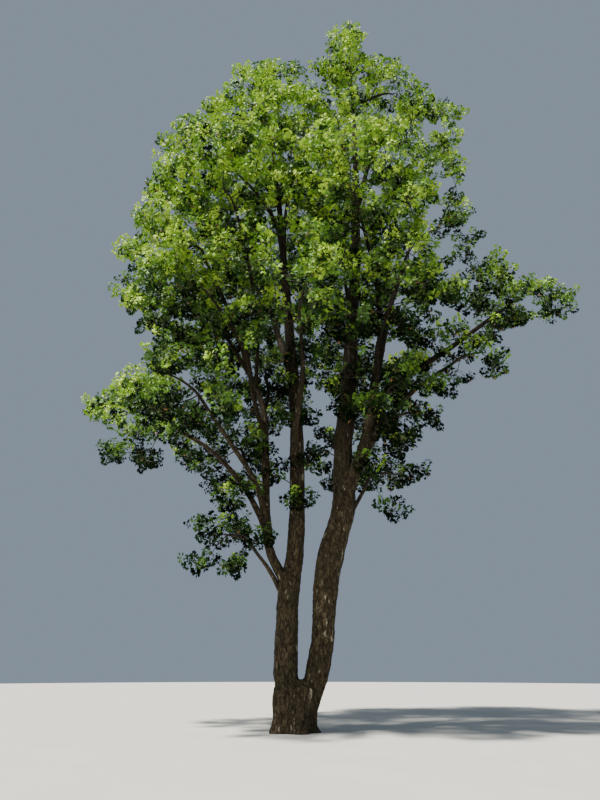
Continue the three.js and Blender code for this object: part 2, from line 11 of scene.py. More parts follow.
import bmesh
import bpy
import numpy as np
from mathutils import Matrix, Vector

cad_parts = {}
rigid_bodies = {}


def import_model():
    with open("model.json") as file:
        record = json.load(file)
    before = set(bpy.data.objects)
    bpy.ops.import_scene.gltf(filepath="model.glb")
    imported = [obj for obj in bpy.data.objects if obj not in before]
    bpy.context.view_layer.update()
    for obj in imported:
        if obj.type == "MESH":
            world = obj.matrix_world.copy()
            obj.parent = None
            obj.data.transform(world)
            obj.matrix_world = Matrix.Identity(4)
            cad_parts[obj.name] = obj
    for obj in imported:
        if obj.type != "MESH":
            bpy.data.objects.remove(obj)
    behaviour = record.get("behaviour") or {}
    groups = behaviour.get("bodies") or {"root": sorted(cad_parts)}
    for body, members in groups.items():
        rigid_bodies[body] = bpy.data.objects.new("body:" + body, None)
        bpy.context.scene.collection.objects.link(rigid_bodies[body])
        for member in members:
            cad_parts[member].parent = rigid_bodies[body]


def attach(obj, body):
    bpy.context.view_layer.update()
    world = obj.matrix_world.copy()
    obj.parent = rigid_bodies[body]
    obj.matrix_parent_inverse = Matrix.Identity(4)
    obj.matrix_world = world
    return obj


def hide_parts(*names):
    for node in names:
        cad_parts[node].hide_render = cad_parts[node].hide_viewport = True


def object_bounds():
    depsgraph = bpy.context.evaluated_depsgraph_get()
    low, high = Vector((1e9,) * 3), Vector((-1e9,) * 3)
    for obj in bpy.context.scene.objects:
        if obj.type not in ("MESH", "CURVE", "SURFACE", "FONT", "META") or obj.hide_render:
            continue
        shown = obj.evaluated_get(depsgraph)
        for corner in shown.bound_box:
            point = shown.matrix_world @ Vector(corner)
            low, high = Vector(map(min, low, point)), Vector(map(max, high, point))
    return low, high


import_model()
cad_box = np.array(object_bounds())

UP = np.array([0.0, 0.0, 1.0])
# Smallest length to divide by, and how far before its last row a curve's last point is read
TINY = 1e-12
BEFORE_LAST = 1e-9

# The photo's viewpoint: eye height on the path, pitched up, with its lens on a sensor of 36 mm
EYE = np.array([0.19, -19.0, 1.6])
PITCH_DEG = 22.4
LENS_MM = 29.1

# Trunk below the fork: height, middle in x, half width, half depth, swelling of the roots
TRUNK_SECTIONS = [
    (0.00, 0.020, 0.660, 0.600, 0.100),
    (0.16, 0.005, 0.585, 0.540, 0.060),
    (0.45, 0.030, 0.600, 0.520, 0.028),
    (0.78, 0.085, 0.670, 0.490, 0.012),
    (1.08, 0.170, 0.690, 0.420, 0.0),
    (1.29, 0.210, 0.420, 0.260, 0.0),
]
ROOTS = 5

# Centre lines of the stems and of the one long bough: x, y, height, diameter
LEFT_STEM = [
    (-0.06, 0.02, 0.35, 0.60),
    (-0.19, 0.03, 1.50, 0.67),
    (-0.18, 0.04, 2.46, 0.65),
    (-0.12, 0.06, 3.60, 0.61),
    (0.07, 0.08, 4.90, 0.50),
    (0.10, 0.06, 7.40, 0.44),
    (0.00, 0.04, 9.80, 0.38),
    (-0.29, 0.10, 13.50, 0.28),
    (-0.56, 0.06, 17.00, 0.19),
    (-0.90, 0.08, 20.30, 0.10),
]
RIGHT_STEM = [
    (0.23, 0.00, 0.35, 0.56),
    (0.64, -0.02, 1.37, 0.65),
    (0.83, -0.03, 2.46, 0.65),
    (0.91, -0.04, 3.60, 0.71),
    (1.08, -0.06, 4.60, 0.76),
    (1.48, -0.06, 6.00, 0.70),
    (1.50, 0.00, 7.50, 0.56),
    (1.74, 0.06, 9.80, 0.52),
    (1.89, 0.06, 11.60, 0.44),
    (2.15, 0.00, 15.50, 0.32),
    (2.27, -0.04, 19.60, 0.20),
    (2.23, 0.00, 23.30, 0.09),
]
OUTER_STEM = [
    (1.49, -0.06, 6.35, 0.38),
    (2.03, -0.18, 7.45, 0.40),
    (2.33, -0.28, 8.50, 0.37),
    (2.70, -0.30, 10.60, 0.29),
    (3.20, -0.20, 12.70, 0.19),
    (3.75, -0.10, 14.30, 0.12),
]
SIDE_STEM = [
    (-0.11, 0.06, 3.65, 0.26),
    (-0.74, 0.00, 4.90, 0.27),
    (-0.85, -0.06, 7.00, 0.24),
    (-1.05, 0.00, 9.40, 0.19),
    (-2.30, 0.35, 11.90, 0.11),
]
LONG_BOUGH = [
    (2.33, -0.28, 8.45, 0.20),
    (3.00, -0.42, 9.65, 0.215),
    (4.90, -0.52, 10.95, 0.17),
    (6.70, -0.42, 12.35, 0.11),
]

# Tiers of the crown: azimuths of the masses, reach and height to the right, back, left and front,
# half of one mass's size outwards, across and upwards, and the slope of its boughs
TIER_FIELDS = ("azimuths", "reach", "height", "half", "rise")
TIERS = {
    "lower": (
        (60, 122, 180, 226, 322), (5.2, 6.0, 6.9, 6.0), (9.2, 8.8, 9.0, 8.5), (2.0, 2.15, 1.7), 1.0,
    ),
    "middle": (
        (50, 105, 178, 228, 274, 318),
        (6.2, 6.6, 6.0, 5.9), (12.3, 12.2, 12.6, 11.0), (2.05, 2.1, 1.8), 1.1,
    ),
    "upper": (
        (0, 62, 120, 180, 238, 300),
        (7.0, 6.5, 6.7, 5.6), (15.9, 15.9, 15.3, 14.7), (2.25, 2.4, 2.0), 1.3,
    ),
    "high": (
        (0, 95, 185, 285), (6.7, 5.4, 5.7, 3.4), (20.0, 19.3, 18.9, 18.3), (2.3, 2.75, 2.05), 1.6,
    ),
    "top": (
        (0, 95, 180), (5.65, 3.5, 3.6, 2.0), (22.5, 21.9, 21.9, 21.5), (2.15, 2.3, 1.95), 1.6,
    ),
}

# Masses away from the tiers: middle, and half sizes along x, y and z
OWN_MASSES = {
    "leader": ((2.2, 0.2, 24.75), (1.5, 1.35, 1.88)),
    "long_right": ((7.75, -0.42, 13.15), (2.1, 1.7, 1.6)),
    "under_long": ((5.65, -1.1, 10.55), (1.45, 1.35, 1.15)),
    "lower_right": ((3.65, 0.25, 9.1), (1.6, 1.9, 1.5)),
    "low_right": ((3.05, 0.0, 7.0), (1.5, 1.5, 1.45)),
    "low_left": ((-1.95, -0.35, 5.1), (1.5, 1.6, 1.55)),
}

# Masses that sit at a limb's tip or on a stem's side, and boughs whose feet have their own height
AT_TIP = {
    "leader": "right_stem",
    "top_left": "left_stem",
    "upper_right": "outer_stem",
    "middle_left": "side_stem",
    "long_right": "bough_long_right",
}
ON_SIDE = {
    "lower_right": "outer_stem",
    "top_right": "right_stem",
    "top_back": "right_stem",
    "high_front": "right_stem",
}
FEET = {
    "under_long": ("outer_stem", 7.3),
    "low_right": ("right_stem", 4.3),
    "low_left": ("left_stem", 3.0),
}

# Limbs, as in the solids
STEM_STEPS = 13
BRANCH_STEPS = 6
BOUGH_STEPS = 4
BOUGH_TIP_RADIUS = 0.05
BOUGH_GROWTH = 0.018
BOUGH_SHARE_OF_STEM = 0.75
BOUGH_BENDS = ((0.27, 0.4), (0.62, 0.74))
BOUGH_SWAY = 0.035
BOUGH_ENTRY = 0.6
BOUGH_DROP = 0.3
BOUGH_SPACING = 0.04
SAMPLES_PER_STEP = 12
FOOT_SLIDE = 0.26
FOOT_TRIES = 12
LOWEST_FOOT = 0.95
SLOPE_WEIGHT = 0.5
SLOPE_PASSES = 8
SIDE_SEAT_RADIUS = 0.07
SIDE_SEAT_DROP = 0.5
STEM_PAST_MIDDLE = 0.2
PATH_WEIGHT = 0.35
PIPE_POWER = 2.3
BOUGH_SEED = 1000
FOLIAGE_SEED = 5000

# The crown's outline as the photo's viewpoint sees it, in the upright plane through the trunk:
# height, reach to the left and reach to the right
CROWN_REACH = [
    (3.2, -2.8, 0.2), (4.6, -3.4, 1.3), (6.2, -3.2, 4.1), (7.0, -5.7, 4.4), (8.0, -6.1, 4.6),
    (9.4, -7.25, 5.2), (9.7, -6.3, 5.2), (10.1, -5.8, 5.3), (10.4, -5.7, 7.0), (10.9, -5.5, 7.3),
    (11.35, -5.2, 7.1), (11.65, -4.8, 6.6), (12.0, -5.3, 6.4), (12.3, -5.8, 8.7), (13.0, -6.3, 10.2),
    (13.5, -6.5, 10.0), (13.8, -6.6, 9.1), (14.1, -7.0, 8.4), (15.4, -6.8, 7.2), (16.6, -6.2, 6.9),
    (17.5, -5.6, 6.4), (17.9, -5.6, 5.5), (18.1, -5.6, 5.5), (18.45, -5.6, 6.5), (20.3, -5.5, 6.8),
    (21.1, -4.6, 6.9), (22.4, -3.6, 6.4), (22.9, -3.4, 5.7), (23.4, -3.3, 4.8), (24.1, -2.7, 4.5),
    (24.5, -0.4, 4.4), (24.75, 1.1, 2.7), (25.0, 1.1, 2.5), (25.3, 1.2, 3.0), (26.0, 1.5, 3.0),
    (26.5, 1.8, 2.8), (26.8, 2.0, 2.7),
]
# Gaps in the crown where that view shows sky: x, height and radius
SKY_GAPS = [
    (0.9, 9.5, 0.28), (0.9, 8.0, 0.12), (-1.85, 8.6, 0.08), (2.65, 11.55, 0.15), (3.5, 11.3, 0.15),
    (3.05, 11.3, 0.25), (4.55, 9.4, 0.2), (4.25, 8.3, 0.25), (3.5, 8.75, 0.2), (3.85, 9.6, 0.15),
    (3.6, 7.7, 0.15), (5.35, 11.5, 0.12), (5.4, 10.6, 0.28), (6.05, 12.0, 0.2), (6.4, 12.4, 0.2),
    (4.6, 14.8, 0.12), (8.1, 12.2, 0.3), (8.85, 13.0, 0.2), (4.05, 15.0, 0.2), (5.25, 15.1, 0.28),
    (6.5, 15.0, 0.22), (6.2, 15.9, 0.2), (5.1, 16.9, 0.28), (5.7, 18.1, 0.35), (5.4, 18.75, 0.25),
    (5.2, 20.0, 0.2), (5.6, 20.8, 0.25), (3.6, 23.05, 0.2), (2.6, 22.95, 0.15), (2.0, 24.8, 0.1),
    (2.95, 24.95, 0.25), (0.45, 24.6, 0.4), (-0.95, 21.6, 0.2), (-2.7, 21.0, 0.15),
    (0.25, 16.8, 0.15), (-3.0, 14.5, 0.15), (-4.9, 14.8, 0.08), (-5.2, 13.6, 0.15),
    (-5.3, 12.6, 0.12), (-4.9, 11.8, 0.22), (-4.4, 12.1, 0.12), (-5.7, 8.7, 0.12),
    (-5.1, 7.7, 0.15), (-4.1, 8.0, 0.12),
]
GAP_MARGIN = 0.06
# Tufts keep inside the outline, and sprays may stand out of it a little
TUFT_INSIDE = 0.42
SPRAY_OUTSIDE = 0.15
# Most tufts leave out the sprays that would hide a limb, or their mass's own stem, from that view
LIMB_VIEW_MARGIN = 0.1
LIMB_VIEW_SHARE = 0.62
# Boughs, and stems of masses, that sprays may hide everywhere
COVERED_LIMBS = ("bough_long_right", "long_right", "bough_under_long", "under_long")
# How far the twigs of a mass reach, as a share of its half sizes, and how far apart its branches
# stand, as a share of the usual spacing: wider apart lets more sky show through
MASS_GROWTH = {
    "leader": (1.15, 0.85),
    "top_left": (1.25, 1.15),
    "top_right": (1.25, 1.34),
    "top_back": (1.15, 1.15),
    "high_left": (1.1, 1.12),
    "high_right": (1.12, 1.3),
    "high_back": (1.2, 1.1),
    "high_front": (1.2, 1.1),
    "upper_left": (1.15, 1.1),
    "upper_right": (1.42, 1.38),
    "upper_back_left": (1.18, 1),
    "upper_back_right": (1.18, 1),
    "upper_front_left": (1.15, 1),
    "upper_front_right": (1.15, 1),
    "long_right": (1.38, 1.024),
    "under_long": (1.02, 1.043),
    "middle_left": (1.2, 1.06),
    "middle_back_right": (1.2, 1),
    "middle_back": (1.18, 1),
    "middle_front": (1.15, 1),
    "middle_front_left": (1.12, 1),
    "middle_front_right": (1.12, 1),
    "lower_left": (1.12, 1.1),
    "lower_right": (1.02, 1.5),
    "lower_back_left": (1.06, 1.14),
    "lower_back_right": (1.06, 1.14),
    "lower_front_left": (1.02, 1.06),
    "lower_front_right": (1.02, 1.12),
    "low_right": (1.02, 1.5),
    "low_left": (1.02, 1.1),
}
SHOOT_GROWTH = (1.02, 1)

# Middle and half sizes of the whole crown: leaves get darker tints inside it and on its side away from
# the sun, as painted shade
CROWN_MIDDLE = np.array([1.2, 0.0, 13.0])
CROWN_HALF = np.array([7.6, 6.0, 13.0])
# The way towards the sun, for the painted light on the leaves
SUNWARD = np.array([-0.14, -0.6, 0.8])
# What makes a spray's tint lighter, as painted light: how far out it is in its mass, how much its twig
# rises, how high up its mass it is, how far out it is in the crown, and how far towards the sun
LIGHT_WEIGHTS = (0.25, 0.45, 0.2, 0.3, 0.4)
# Painted shade: leaves get darker tints low down, under the rest of the crown, but not on the boughs
# that reach far left
LOW_SHADE = 0.34
SHADE_HEIGHTS = (9.0, 17.5)
LIT_LEFT = (-6.2, -3.0)
# Scatter of the lightness by which tints are dealt out: of a spray, and of a whole tuft
SPRAY_SCATTER = 0.3
TUFT_SCATTER = 0.17

# Small leafy shoots on the stems and the long bough: heights and azimuths, half size, how far
# they stand off as a share of it, and radius where they start
STEM_SHOOTS = {
    "left_stem": [
        (5.9, 250), (6.4, 300), (6.9, 200), (7.6, 275), (8.4, 255), (9.0, 310), (9.9, 230), (10.9, 280),
    ],
    "right_stem": [(7.8, 160), (9.3, 250), (10.4, 290)],
    "outer_stem": [(8.2, 300), (9.6, 350)],
    "side_stem": [(6.4, 190), (8.0, 240), (8.8, 300)],
    "bough_long_right": [(12.2, 270)],
}
SHOOT_HALF = np.array([0.6, 0.55, 0.6])
SHOOT_STANDOFF = 0.6
SHOOT_RADIUS = 0.02

# Branches of a mass
BRANCH_SPACING = 0.96
BRANCH_TRIES = 1200
BRANCH_DEPTHS = (0.42, 0.9)
BRANCH_BOW = 0.10
BRANCH_CROOK = 0.05
BRANCH_POINTS = 7
BRANCH_SIDES = 5
BRANCH_TIP_RADIUS = 0.011
BRANCH_END = 0.55
BRANCH_SPRINGS = (0.3, 0.5, 0.7, 0.9)
MASS_STEM_SPRINGS = (0.3, 0.45, 0.6, 0.75, 0.9)
MASS_STEM_TAPER = (1.0, 0.82, 0.55, 0.25)
MASS_STEM_POINTS = 9
MASS_STEM_SIDES = 8

# Tufts: half size round a branch's end, share of it where a tuft starts, and its twigs
TUFT_HALF = np.array([0.58, 0.58, 0.38])
TUFT_SIZES = (0.75, 1.25)
TUFT_START = 0.4
TUFT_NARROW = 0.55
TWIG_SPACING = 0.25
TWIG_TRIES = 80
TWIG_DEPTHS = (0.4, 1.0)
TWIGS_FROM_POINT = 2
TWIG_SIDES = 3
TWIG_ROOT_RADIUS = 0.0065
TWIG_END_RADIUS = 0.003
TWIG_BEND = 0.55
TWIG_SAG = 0.03
# How much a spray goes on along its twig's whole course, and how much it turns up
SPRAY_ALONG = 0.5
SPRAY_RISE = 0.25

# One leaf of unit length: its outline round from the stalk, with the five lobes' tips bent down
LEAF_OUTLINE = np.array(
    [
        (0, 0, 0), (0.44, 0.12, -0.07), (0.52, 0.64, -0.10), (0.16, 0.55, 0.03),
        (0, 1, -0.16), (-0.16, 0.55, 0.03), (-0.52, 0.64, -0.10), (-0.44, 0.12, -0.07),
    ]
)
LEAVES_PER_SPRAY = 10
SPRAY_LENGTH = 0.20
STALK_LENGTH = (0.03, 0.10)
LEAF_LENGTH = 0.107
LEAF_VARIATION = 0.22
VARIATION_LIMIT = 1.6
LEAF_CLEARANCE = 0.02
# Scatter of a leaf's turn round its spray, and a direction that no spray follows
TURN_SCATTER = 0.3
ASIDE = (0.15, 0.25, 0.95)
# A leaf points out from its spray, and besides: forwards at the tip, less so further back, and down
LEAF_FORWARD = 0.8
FORWARD_LOSS = 0.7
LEAF_DROOP = 0.5
LEAF_SCATTER = 0.15
# Its upper face turns up, outwards and a little at random
FACE_UP = 0.5
FACE_OUT = 0.6
FACE_SCATTER = 0.5

# Leaf colours as seen on a screen: the light end of each range, its dark end, and the gloss
# The six tints are lit and shaded copies of one green, from sunlit to deep shade: painted light and
# shade, dealt out by how lit each spray would be, with some scatter of tone; the lit ones are glossier
# too
LEAF_TINTS = {
    "leaves_painted_sunlit": ((190, 220, 80), (156, 192, 56), 0.36),
    "leaves_painted_bright": ((147, 186, 54), (111, 154, 39), 0.36),
    "leaves_painted_half_lit": ((103, 146, 42), (77, 116, 29), 0.32),
    "leaves_painted_half_shade": ((66, 102, 30), (47, 78, 22), 0.26),
    "leaves_painted_shade": ((30, 60, 16), (19, 42, 10), 0.12),
    "leaves_painted_deep_shade": ((10, 27, 6), (5, 15, 3), 0.05),
}
LEAF_ROUGHNESS = 0.5
LEAF_MOTTLE = 3.0
# Other plain looks: light and dark end, roughness, gloss, and scale of the noise between the two
LOOKS = {
    "twig_bark": ((62, 55, 46), (37, 32, 28), 0.85, 0.2, 9.0),
    "green_twig": ((84, 88, 46), (58, 60, 34), 0.7, 0.25, 9.0),
    "seeds": ((192, 146, 92), (150, 98, 62), 0.7, 0.2, 4.0),
    "floor": ((194, 193, 188), (189, 188, 183), 0.9, 0.2, 0.6),
}
MOTTLE_DETAIL = 3.0
MOTTLE_LIMITS = (0.35, 0.65)

# Hanging clusters of winged seeds
WING_OUTLINE = np.array([(0, 0, 0), (0.19, 0.6, 0), (0, 1, 0), (-0.1, 0.5, 0)])
WING_LENGTH = 0.07
WING_SIZES = (0.8, 1.2)
WING_SLOPES = (0.6, 2.0)
WING_APART = 0.012
WINGS = 6
SEED_STALK = 0.05
SEED_DROPS = (0, 0.05)
SEEDED_SHARES = (0.0, 0.36)

# The trunk's mesh: rings and sides below the fork, a ring under the flat cut, size of its voxels,
# passes of smoothing and share of each, and the stems' stubs, which run into the stems' own bark
TRUNK_RINGS = 30
TRUNK_SIDES = 60
BELOW_CUT = 0.1
VOXEL = 0.021
SMOOTHING_PASSES = 8
SMOOTHING = 0.6
STUB_SIDES = 48
STUB_TOP = 2.2
STUB_FADE = 0.35
STUB_INSET = 0.03
STEM_LOW = 1.6
# Sides and spacing of rings on the two main stems, on thick limbs and on thin ones
STEM_MESH = (52, 0.06)
THICK_MESH = (28, 0.065)
THIN_MESH = (14, 0.08)
THICK_RADIUS = 0.1
FEWEST_STEPS = 4
LENGTH_SAMPLES = 200
HEIGHT_SAMPLES = 400
# A bough's collar: how much wider it is at its foot, and its run in radii
COLLAR = 0.45
COLLAR_RUN = 1.5
# How upright a line is where its tube needs another helper direction
UPRIGHT = 0.8

# Relief of the bark: plates parted by cracks, and lumps; each noise has a salt of its own
PLATE_WIDTH = 0.085
PLATE_STRETCH = 2.2
PLATE_DEPTH = 0.012
CRACK_WIDTH = 0.35
CRACK_SALTS = (1, 2, 3)
LUMP_WIDTH = 0.45
LUMP_DEPTH = 0.022
LUMP_SALT = 5
# The finer noise on both: its share of their depth, how many times finer it is, and its salt
PLATE_GRAIN = (0.35, 2.3, 7)
LUMP_GRAIN = (0.5, 2.2, 6)
# The relief is full from this radius on, and thinner limbs have less
FULL_RELIEF_RADIUS = 0.3
LEAST_RELIEF = 0.12
# The knot hole, and as shares of its size its edge, and its rim's height, place and width
KNOT_HOLE = {"place": np.array([0.62, -0.30, 2.56]), "width": 0.11, "height": 0.17, "depth": 0.10}
KNOT_EDGE = 0.75
KNOT_STEEPNESS = 4
KNOT_RIM = (0.3, 1.25, 0.3)

# Look of the bark: roughness and gloss, and colours, each from the dark to the light of the grain
BARK_FINISH = (0.92, 0.15)
BARK_COLOURS = {
    "dark": ((29, 24, 17), (64, 55, 40)),
    "light": ((48, 41, 30), (95, 83, 62)),
    "pale": ((112, 103, 85), (176, 168, 144)),
    "damp": ((36, 33, 23), (68, 63, 46)),
    "crack": ((20, 17, 12), (44, 38, 28)),
    # painted shade: near-black bark high up, where the crown shades the limbs
    "painted_crown_shade": ((18, 16, 12), (37, 33, 25)),
}
# Stretch, noise (scale and detail), limits and bump of the grain
GRAIN_STRETCH = (1.0, 1.0, 0.3)
GRAIN_NOISE = (30.0, 8.0)
GRAIN_LIMITS = (0.36, 0.64)
GRAIN_BUMP = (0.8, 0.02)
# Scales: stretch, how they are bent, and how many to a metre
SCALE_STRETCH = (1.0, 1.0, 0.38)
SCALE_BEND = (5.0, 0.06)
SCALES_PER_METRE = 13.0
FLAKE_NOISE = (7.0, 4.0)
DAMP_NOISE = (1.4, 3.0)
# Limits between which light scales, pale flakes, damp patches, plain bark beside cracks and the
# near-black painted shade of the crown on the bark high up come in; the last are shares of the
# tree's height. A third number is the most that a layer covers what is below it, out of 255
LIGHT_LIMITS = (0.25, 0.75)
FLAKE_LIMITS = (0.64, 0.68)
DAMP_LIMITS = (0.48, 0.64, 190)
CRACK_LIMITS = (0.0, 0.07)
CROWN_SHADE_LIMITS = (0.17, 0.38, 225)

# Light and floor
SUN_POWER = 10.5
SUN_WIDTH_DEG = 4
SUN_COLOUR = (1.0, 0.96, 0.88)
SUN_TILT_DEG = 28
SUN_TURN_DEG = -50
SKY_COLOUR = (196, 214, 236)
SKY_POWER = 0.43
FLOOR_RADIUS = 60
FLOOR_SIDES = 96


def unit(v):
    return v / np.maximum(np.linalg.norm(v, axis=-1, keepdims=True), TINY)


def lengths(v):
    """The length of each vector in an array of them."""
    return np.linalg.norm(v, axis=-1)


def mix(a, b, share):
    return a + (b - a) * share


def smooth_step(value, low, high):
    share = np.clip((value - low) / (high - low), 0, 1)
    return share * share * (3 - 2 * share)


def points_along(line, at, grid):
    """Points on the straight steps of a line whose own points are numbered by a grid."""
    return np.stack([np.interp(at, grid, line[:, k]) for k in range(3)], axis=-1)


def axes_at(angle):
    """Directions outwards, across and upwards at an angle round the trunk."""
    out = np.array([math.cos(angle), math.sin(angle), 0])
    return np.array([out, np.cross(UP, out), UP])


# Seeded numbers and noise


def random_numbers(seed):
    """The solids' own seeded source of even numbers from 0 to 1."""
    mask = 0xFFFFFFFF
    state = seed

    def draw():
        nonlocal state
        state = (state + 0x6D2B79F5) & mask
        t = ((state ^ (state >> 15)) * (state | 1)) & mask
        t ^= (t + (((t ^ (t >> 7)) * (t | 61)) & mask)) & mask
        return (t ^ (t >> 14)) / 4294967296

    return draw


def cell_numbers(cells, salt):
    """Even numbers from 0 to 1, one for each whole-numbered cell."""
    c = cells.astype(np.int64).astype(np.uint64)
    h = c[..., 0] * np.uint64(73856093) ^ c[..., 1] * np.uint64(19349663)
    h = h ^ c[..., 2] * np.uint64(83492791) ^ np.uint64(salt * 2654435761)
    h = (h ^ (h >> np.uint64(29))) * np.uint64(0xBF58476D1CE4E5B9)
    h = (h ^ (h >> np.uint64(32))) * np.uint64(0x94D049BB133111EB)
    return (h >> np.uint64(40)).astype(float) / (1 << 24)


def smooth_noise(points, salt):
    """Smooth noise from -1 to 1 over points whose cells are one unit wide."""
    cell = np.floor(points)
    f = points - cell
    f = f * f * (3 - 2 * f)
    total = np.zeros(len(points))
    for corner in itertools.product((0, 1), repeat=3):
        weight = np.prod(np.where(corner, f, 1 - f), axis=1)
        total += weight * cell_numbers(cell + corner, salt)
    return 2 * total - 1


def crack_distance(points):
    """Distance to the nearest crack between bark plates that are about one unit wide."""
    cell = np.floor(points)
    nearest = np.full(len(points), np.inf)
    second = np.full(len(points), np.inf)
    for step in itertools.product((-1, 0, 1), repeat=3):
        corner = cell + step
        seed = corner + np.stack([cell_numbers(corner, salt) for salt in CRACK_SALTS], axis=1)
        away = lengths(points - seed)
        second = np.minimum(second, np.maximum(nearest, away))
        nearest = np.minimum(nearest, away)
    return second - nearest


# Limbs by the solids' rule


def curve_points(rows, shares):
    """A Catmull-Rom curve through the rows, at shares of its rows from 0 to 1."""
    rows = np.array(rows, float)
    drawn = np.vstack([2 * rows[0] - rows[1], rows, 2 * rows[-1] - rows[-2]])
    at = np.clip(np.asarray(shares) * (len(rows) - 1), 0, len(rows) - 1 - BEFORE_LAST)
    row = at.astype(int)
    f = (at - row)[:, None]
    p0, p1, p2, p3 = (drawn[row + k] for k in range(4))
    t0 = (p2 - p0) / 2
    t1 = (p3 - p1) / 2
    return p1 + f * t0 + f**2 * (3 * (p2 - p1) - 2 * t0 - t1) + f**3 * (2 * (p1 - p2) + t0 + t1)


def radii_at(rows, shares):
    return np.interp(shares * (len(rows) - 1), np.arange(len(rows)), rows[:, 3]) / 2


def limb_through(name, rows, steps, parent=None):
    """A limb: its rows, and the points and radii of its centre line."""
    rows = np.array(rows, float)
    shares = np.linspace(0, 1, steps + 1)
    return {
        "name": name,
        "rows": rows,
        "points": curve_points(rows[:, :3], shares),
        "radii": radii_at(rows, shares),
        "parent": parent,
    }


def place_at_height(limb, height):
    """The point and the radius of a limb's centre line at a height."""
    points, radii = limb["points"], limb["radii"]
    i = 0
    while i < len(points) - 2 and points[i + 1][2] < height:
        i += 1
    share = np.clip((height - points[i][2]) / (points[i + 1][2] - points[i][2]), 0, 1)
    return mix(points[i], points[i + 1], share), mix(radii[i], radii[i + 1], share)


def bough_to(name, parent, foot_height, tip, seed):
    """A bough rises steeply from its parent, then leans out towards its tip."""
    random = random_numbers(seed)
    foot, skin = place_at_height(parent, foot_height)
    span = tip - foot
    length = np.linalg.norm(span)
    foot_radius = min(BOUGH_TIP_RADIUS + BOUGH_GROWTH * length, skin * BOUGH_SHARE_OF_STEM)
    line = [foot]
    for out, up in BOUGH_BENDS:
        sway = np.array([(random() - 0.5) * 2 * BOUGH_SWAY * length for _ in range(3)])
        line.append(foot + span * (out, out, up) + sway)
    line.append(tip)
    last = len(line) - 1
    rows = [(*p, 2 * mix(foot_radius, BOUGH_TIP_RADIUS, i / last)) for i, p in enumerate(line)]
    return limb_through(name, rows, BOUGH_STEPS, parent)


def samples_of(limb):
    """A limb's points and radii, several to a step."""
    steps = len(limb["points"]) - 1
    at = np.arange(steps * SAMPLES_PER_STEP + 1) / SAMPLES_PER_STEP
    grid = np.arange(steps + 1)
    return points_along(limb["points"], at, grid), np.interp(at, grid, limb["radii"])


def is_clear(bough, limbs):
    """True where a bough, once it is out of its parent, stays clear of all the other limbs."""
    foot = bough["points"][0]
    skin = place_at_height(bough["parent"], foot[2])[1] + BOUGH_SPACING
    own, own_radii = samples_of(bough)
    out = lengths(own - foot) > skin
    for limb in limbs:
        if limb is bough["parent"]:
            continue
        there, radii = samples_of(limb)
        away = lengths(own[out, None] - there[None])
        if (away <= own_radii[out, None] + radii[None] + BOUGH_SPACING).any():
            return False
    return True


def bough_tip(mass, foot):
    """Where a bough ends: inside its mass, on the near side and a little below the middle."""
    inward = (foot - mass["middle"]) * (1, 1, 0)
    tip = mass["middle"] + unit(inward) * mass["half"][0] * BOUGH_ENTRY
    tip[2] = mass["middle"][2] - mass["half"][2] * BOUGH_DROP
    return tip


def clear_bough(mass, stem, height, limbs, seed):
    """A bough's foot slides along its stem until the bough is clear of the limbs made before it."""
    for slide in range(FOOT_TRIES):
        way = 1 if slide % 2 else -1
        foot = height + way * math.ceil(slide / 2) * FOOT_SLIDE
        tip = bough_tip(mass, place_at_height(stem, foot)[0])
        bough = bough_to("bough_" + mass["name"], stem, foot, tip, seed)
        if is_clear(bough, limbs):
            return bough
    raise ValueError(mass["name"] + " has no clear bough")


def best_stem(mass, stems):
    """The stem that suits a mass best, and the height at which its bough has the tier's slope."""
    middle = mass["middle"]

    def run(stem, height):
        return np.linalg.norm((place_at_height(stem, height)[0] - middle)[:2])

    choices = []
    for order, stem in enumerate(stems):
        low = stem["points"][0][2] + LOWEST_FOOT
        high = stem["points"][-2][2]
        height = middle[2]
        for _ in range(SLOPE_PASSES):
            height = np.clip(middle[2] - mass["rise"] * run(stem, height), low, high)
        slope = (middle[2] - height) / run(stem, height)
        distance = np.linalg.norm(place_at_height(stem, height)[0] - middle)
        choices.append((distance * (1 + SLOPE_WEIGHT * abs(slope - mass["rise"])), order, height))
    _, order, height = min(choices)
    return stems[order], height


def all_limbs(masses):
    """The four stems, the long bough and one bough to each mass that no limb's tip or side carries."""
    left = limb_through("left_stem", LEFT_STEM, STEM_STEPS)
    right = limb_through("right_stem", RIGHT_STEM, STEM_STEPS)
    outer = limb_through("outer_stem", OUTER_STEM, BRANCH_STEPS, right)
    side = limb_through("side_stem", SIDE_STEM, BRANCH_STEPS, left)
    stems = [left, right, outer, side]
    limbs = [*stems, limb_through("bough_long_right", LONG_BOUGH, BRANCH_STEPS, outer)]
    by_name = {limb["name"]: limb for limb in limbs}
    for index, mass in enumerate(masses):
        if mass["name"] in AT_TIP or mass["name"] in ON_SIDE:
            continue
        if mass["name"] in FEET:
            stem_name, height = FEET[mass["name"]]
            stem = by_name[stem_name]
        else:
            stem, height = best_stem(mass, stems)
        limbs.append(clear_bough(mass, stem, height, limbs, BOUGH_SEED + index))
    return limbs


# Masses of foliage by the solids' rule


def side_name(azimuth):
    sides = ("right", "back_right", "back", "back_left", "left", "front_left", "front", "front_right")
    return sides[math.floor(azimuth * len(sides) / 360 + 0.5) % len(sides)]


def size_at(sizes, angle):
    """A size given to the right, back, left and front, read at any angle between them."""
    right, back, left, front = sizes
    x, y = math.cos(angle), math.sin(angle)
    return (right if x > 0 else left) * x * x + (back if y > 0 else front) * y * y


def tier_mass(name, tier, azimuth):
    angle = math.radians(azimuth)
    axes = axes_at(angle)
    middle = axes[0] * (size_at(tier["reach"], angle) - tier["half"][0])
    middle[2] = size_at(tier["height"], angle)
    return {
        "name": f"{name}_{side_name(azimuth)}",
        "middle": middle,
        "half": np.array(tier["half"]),
        "axes": axes,
        "rise": tier["rise"],
    }


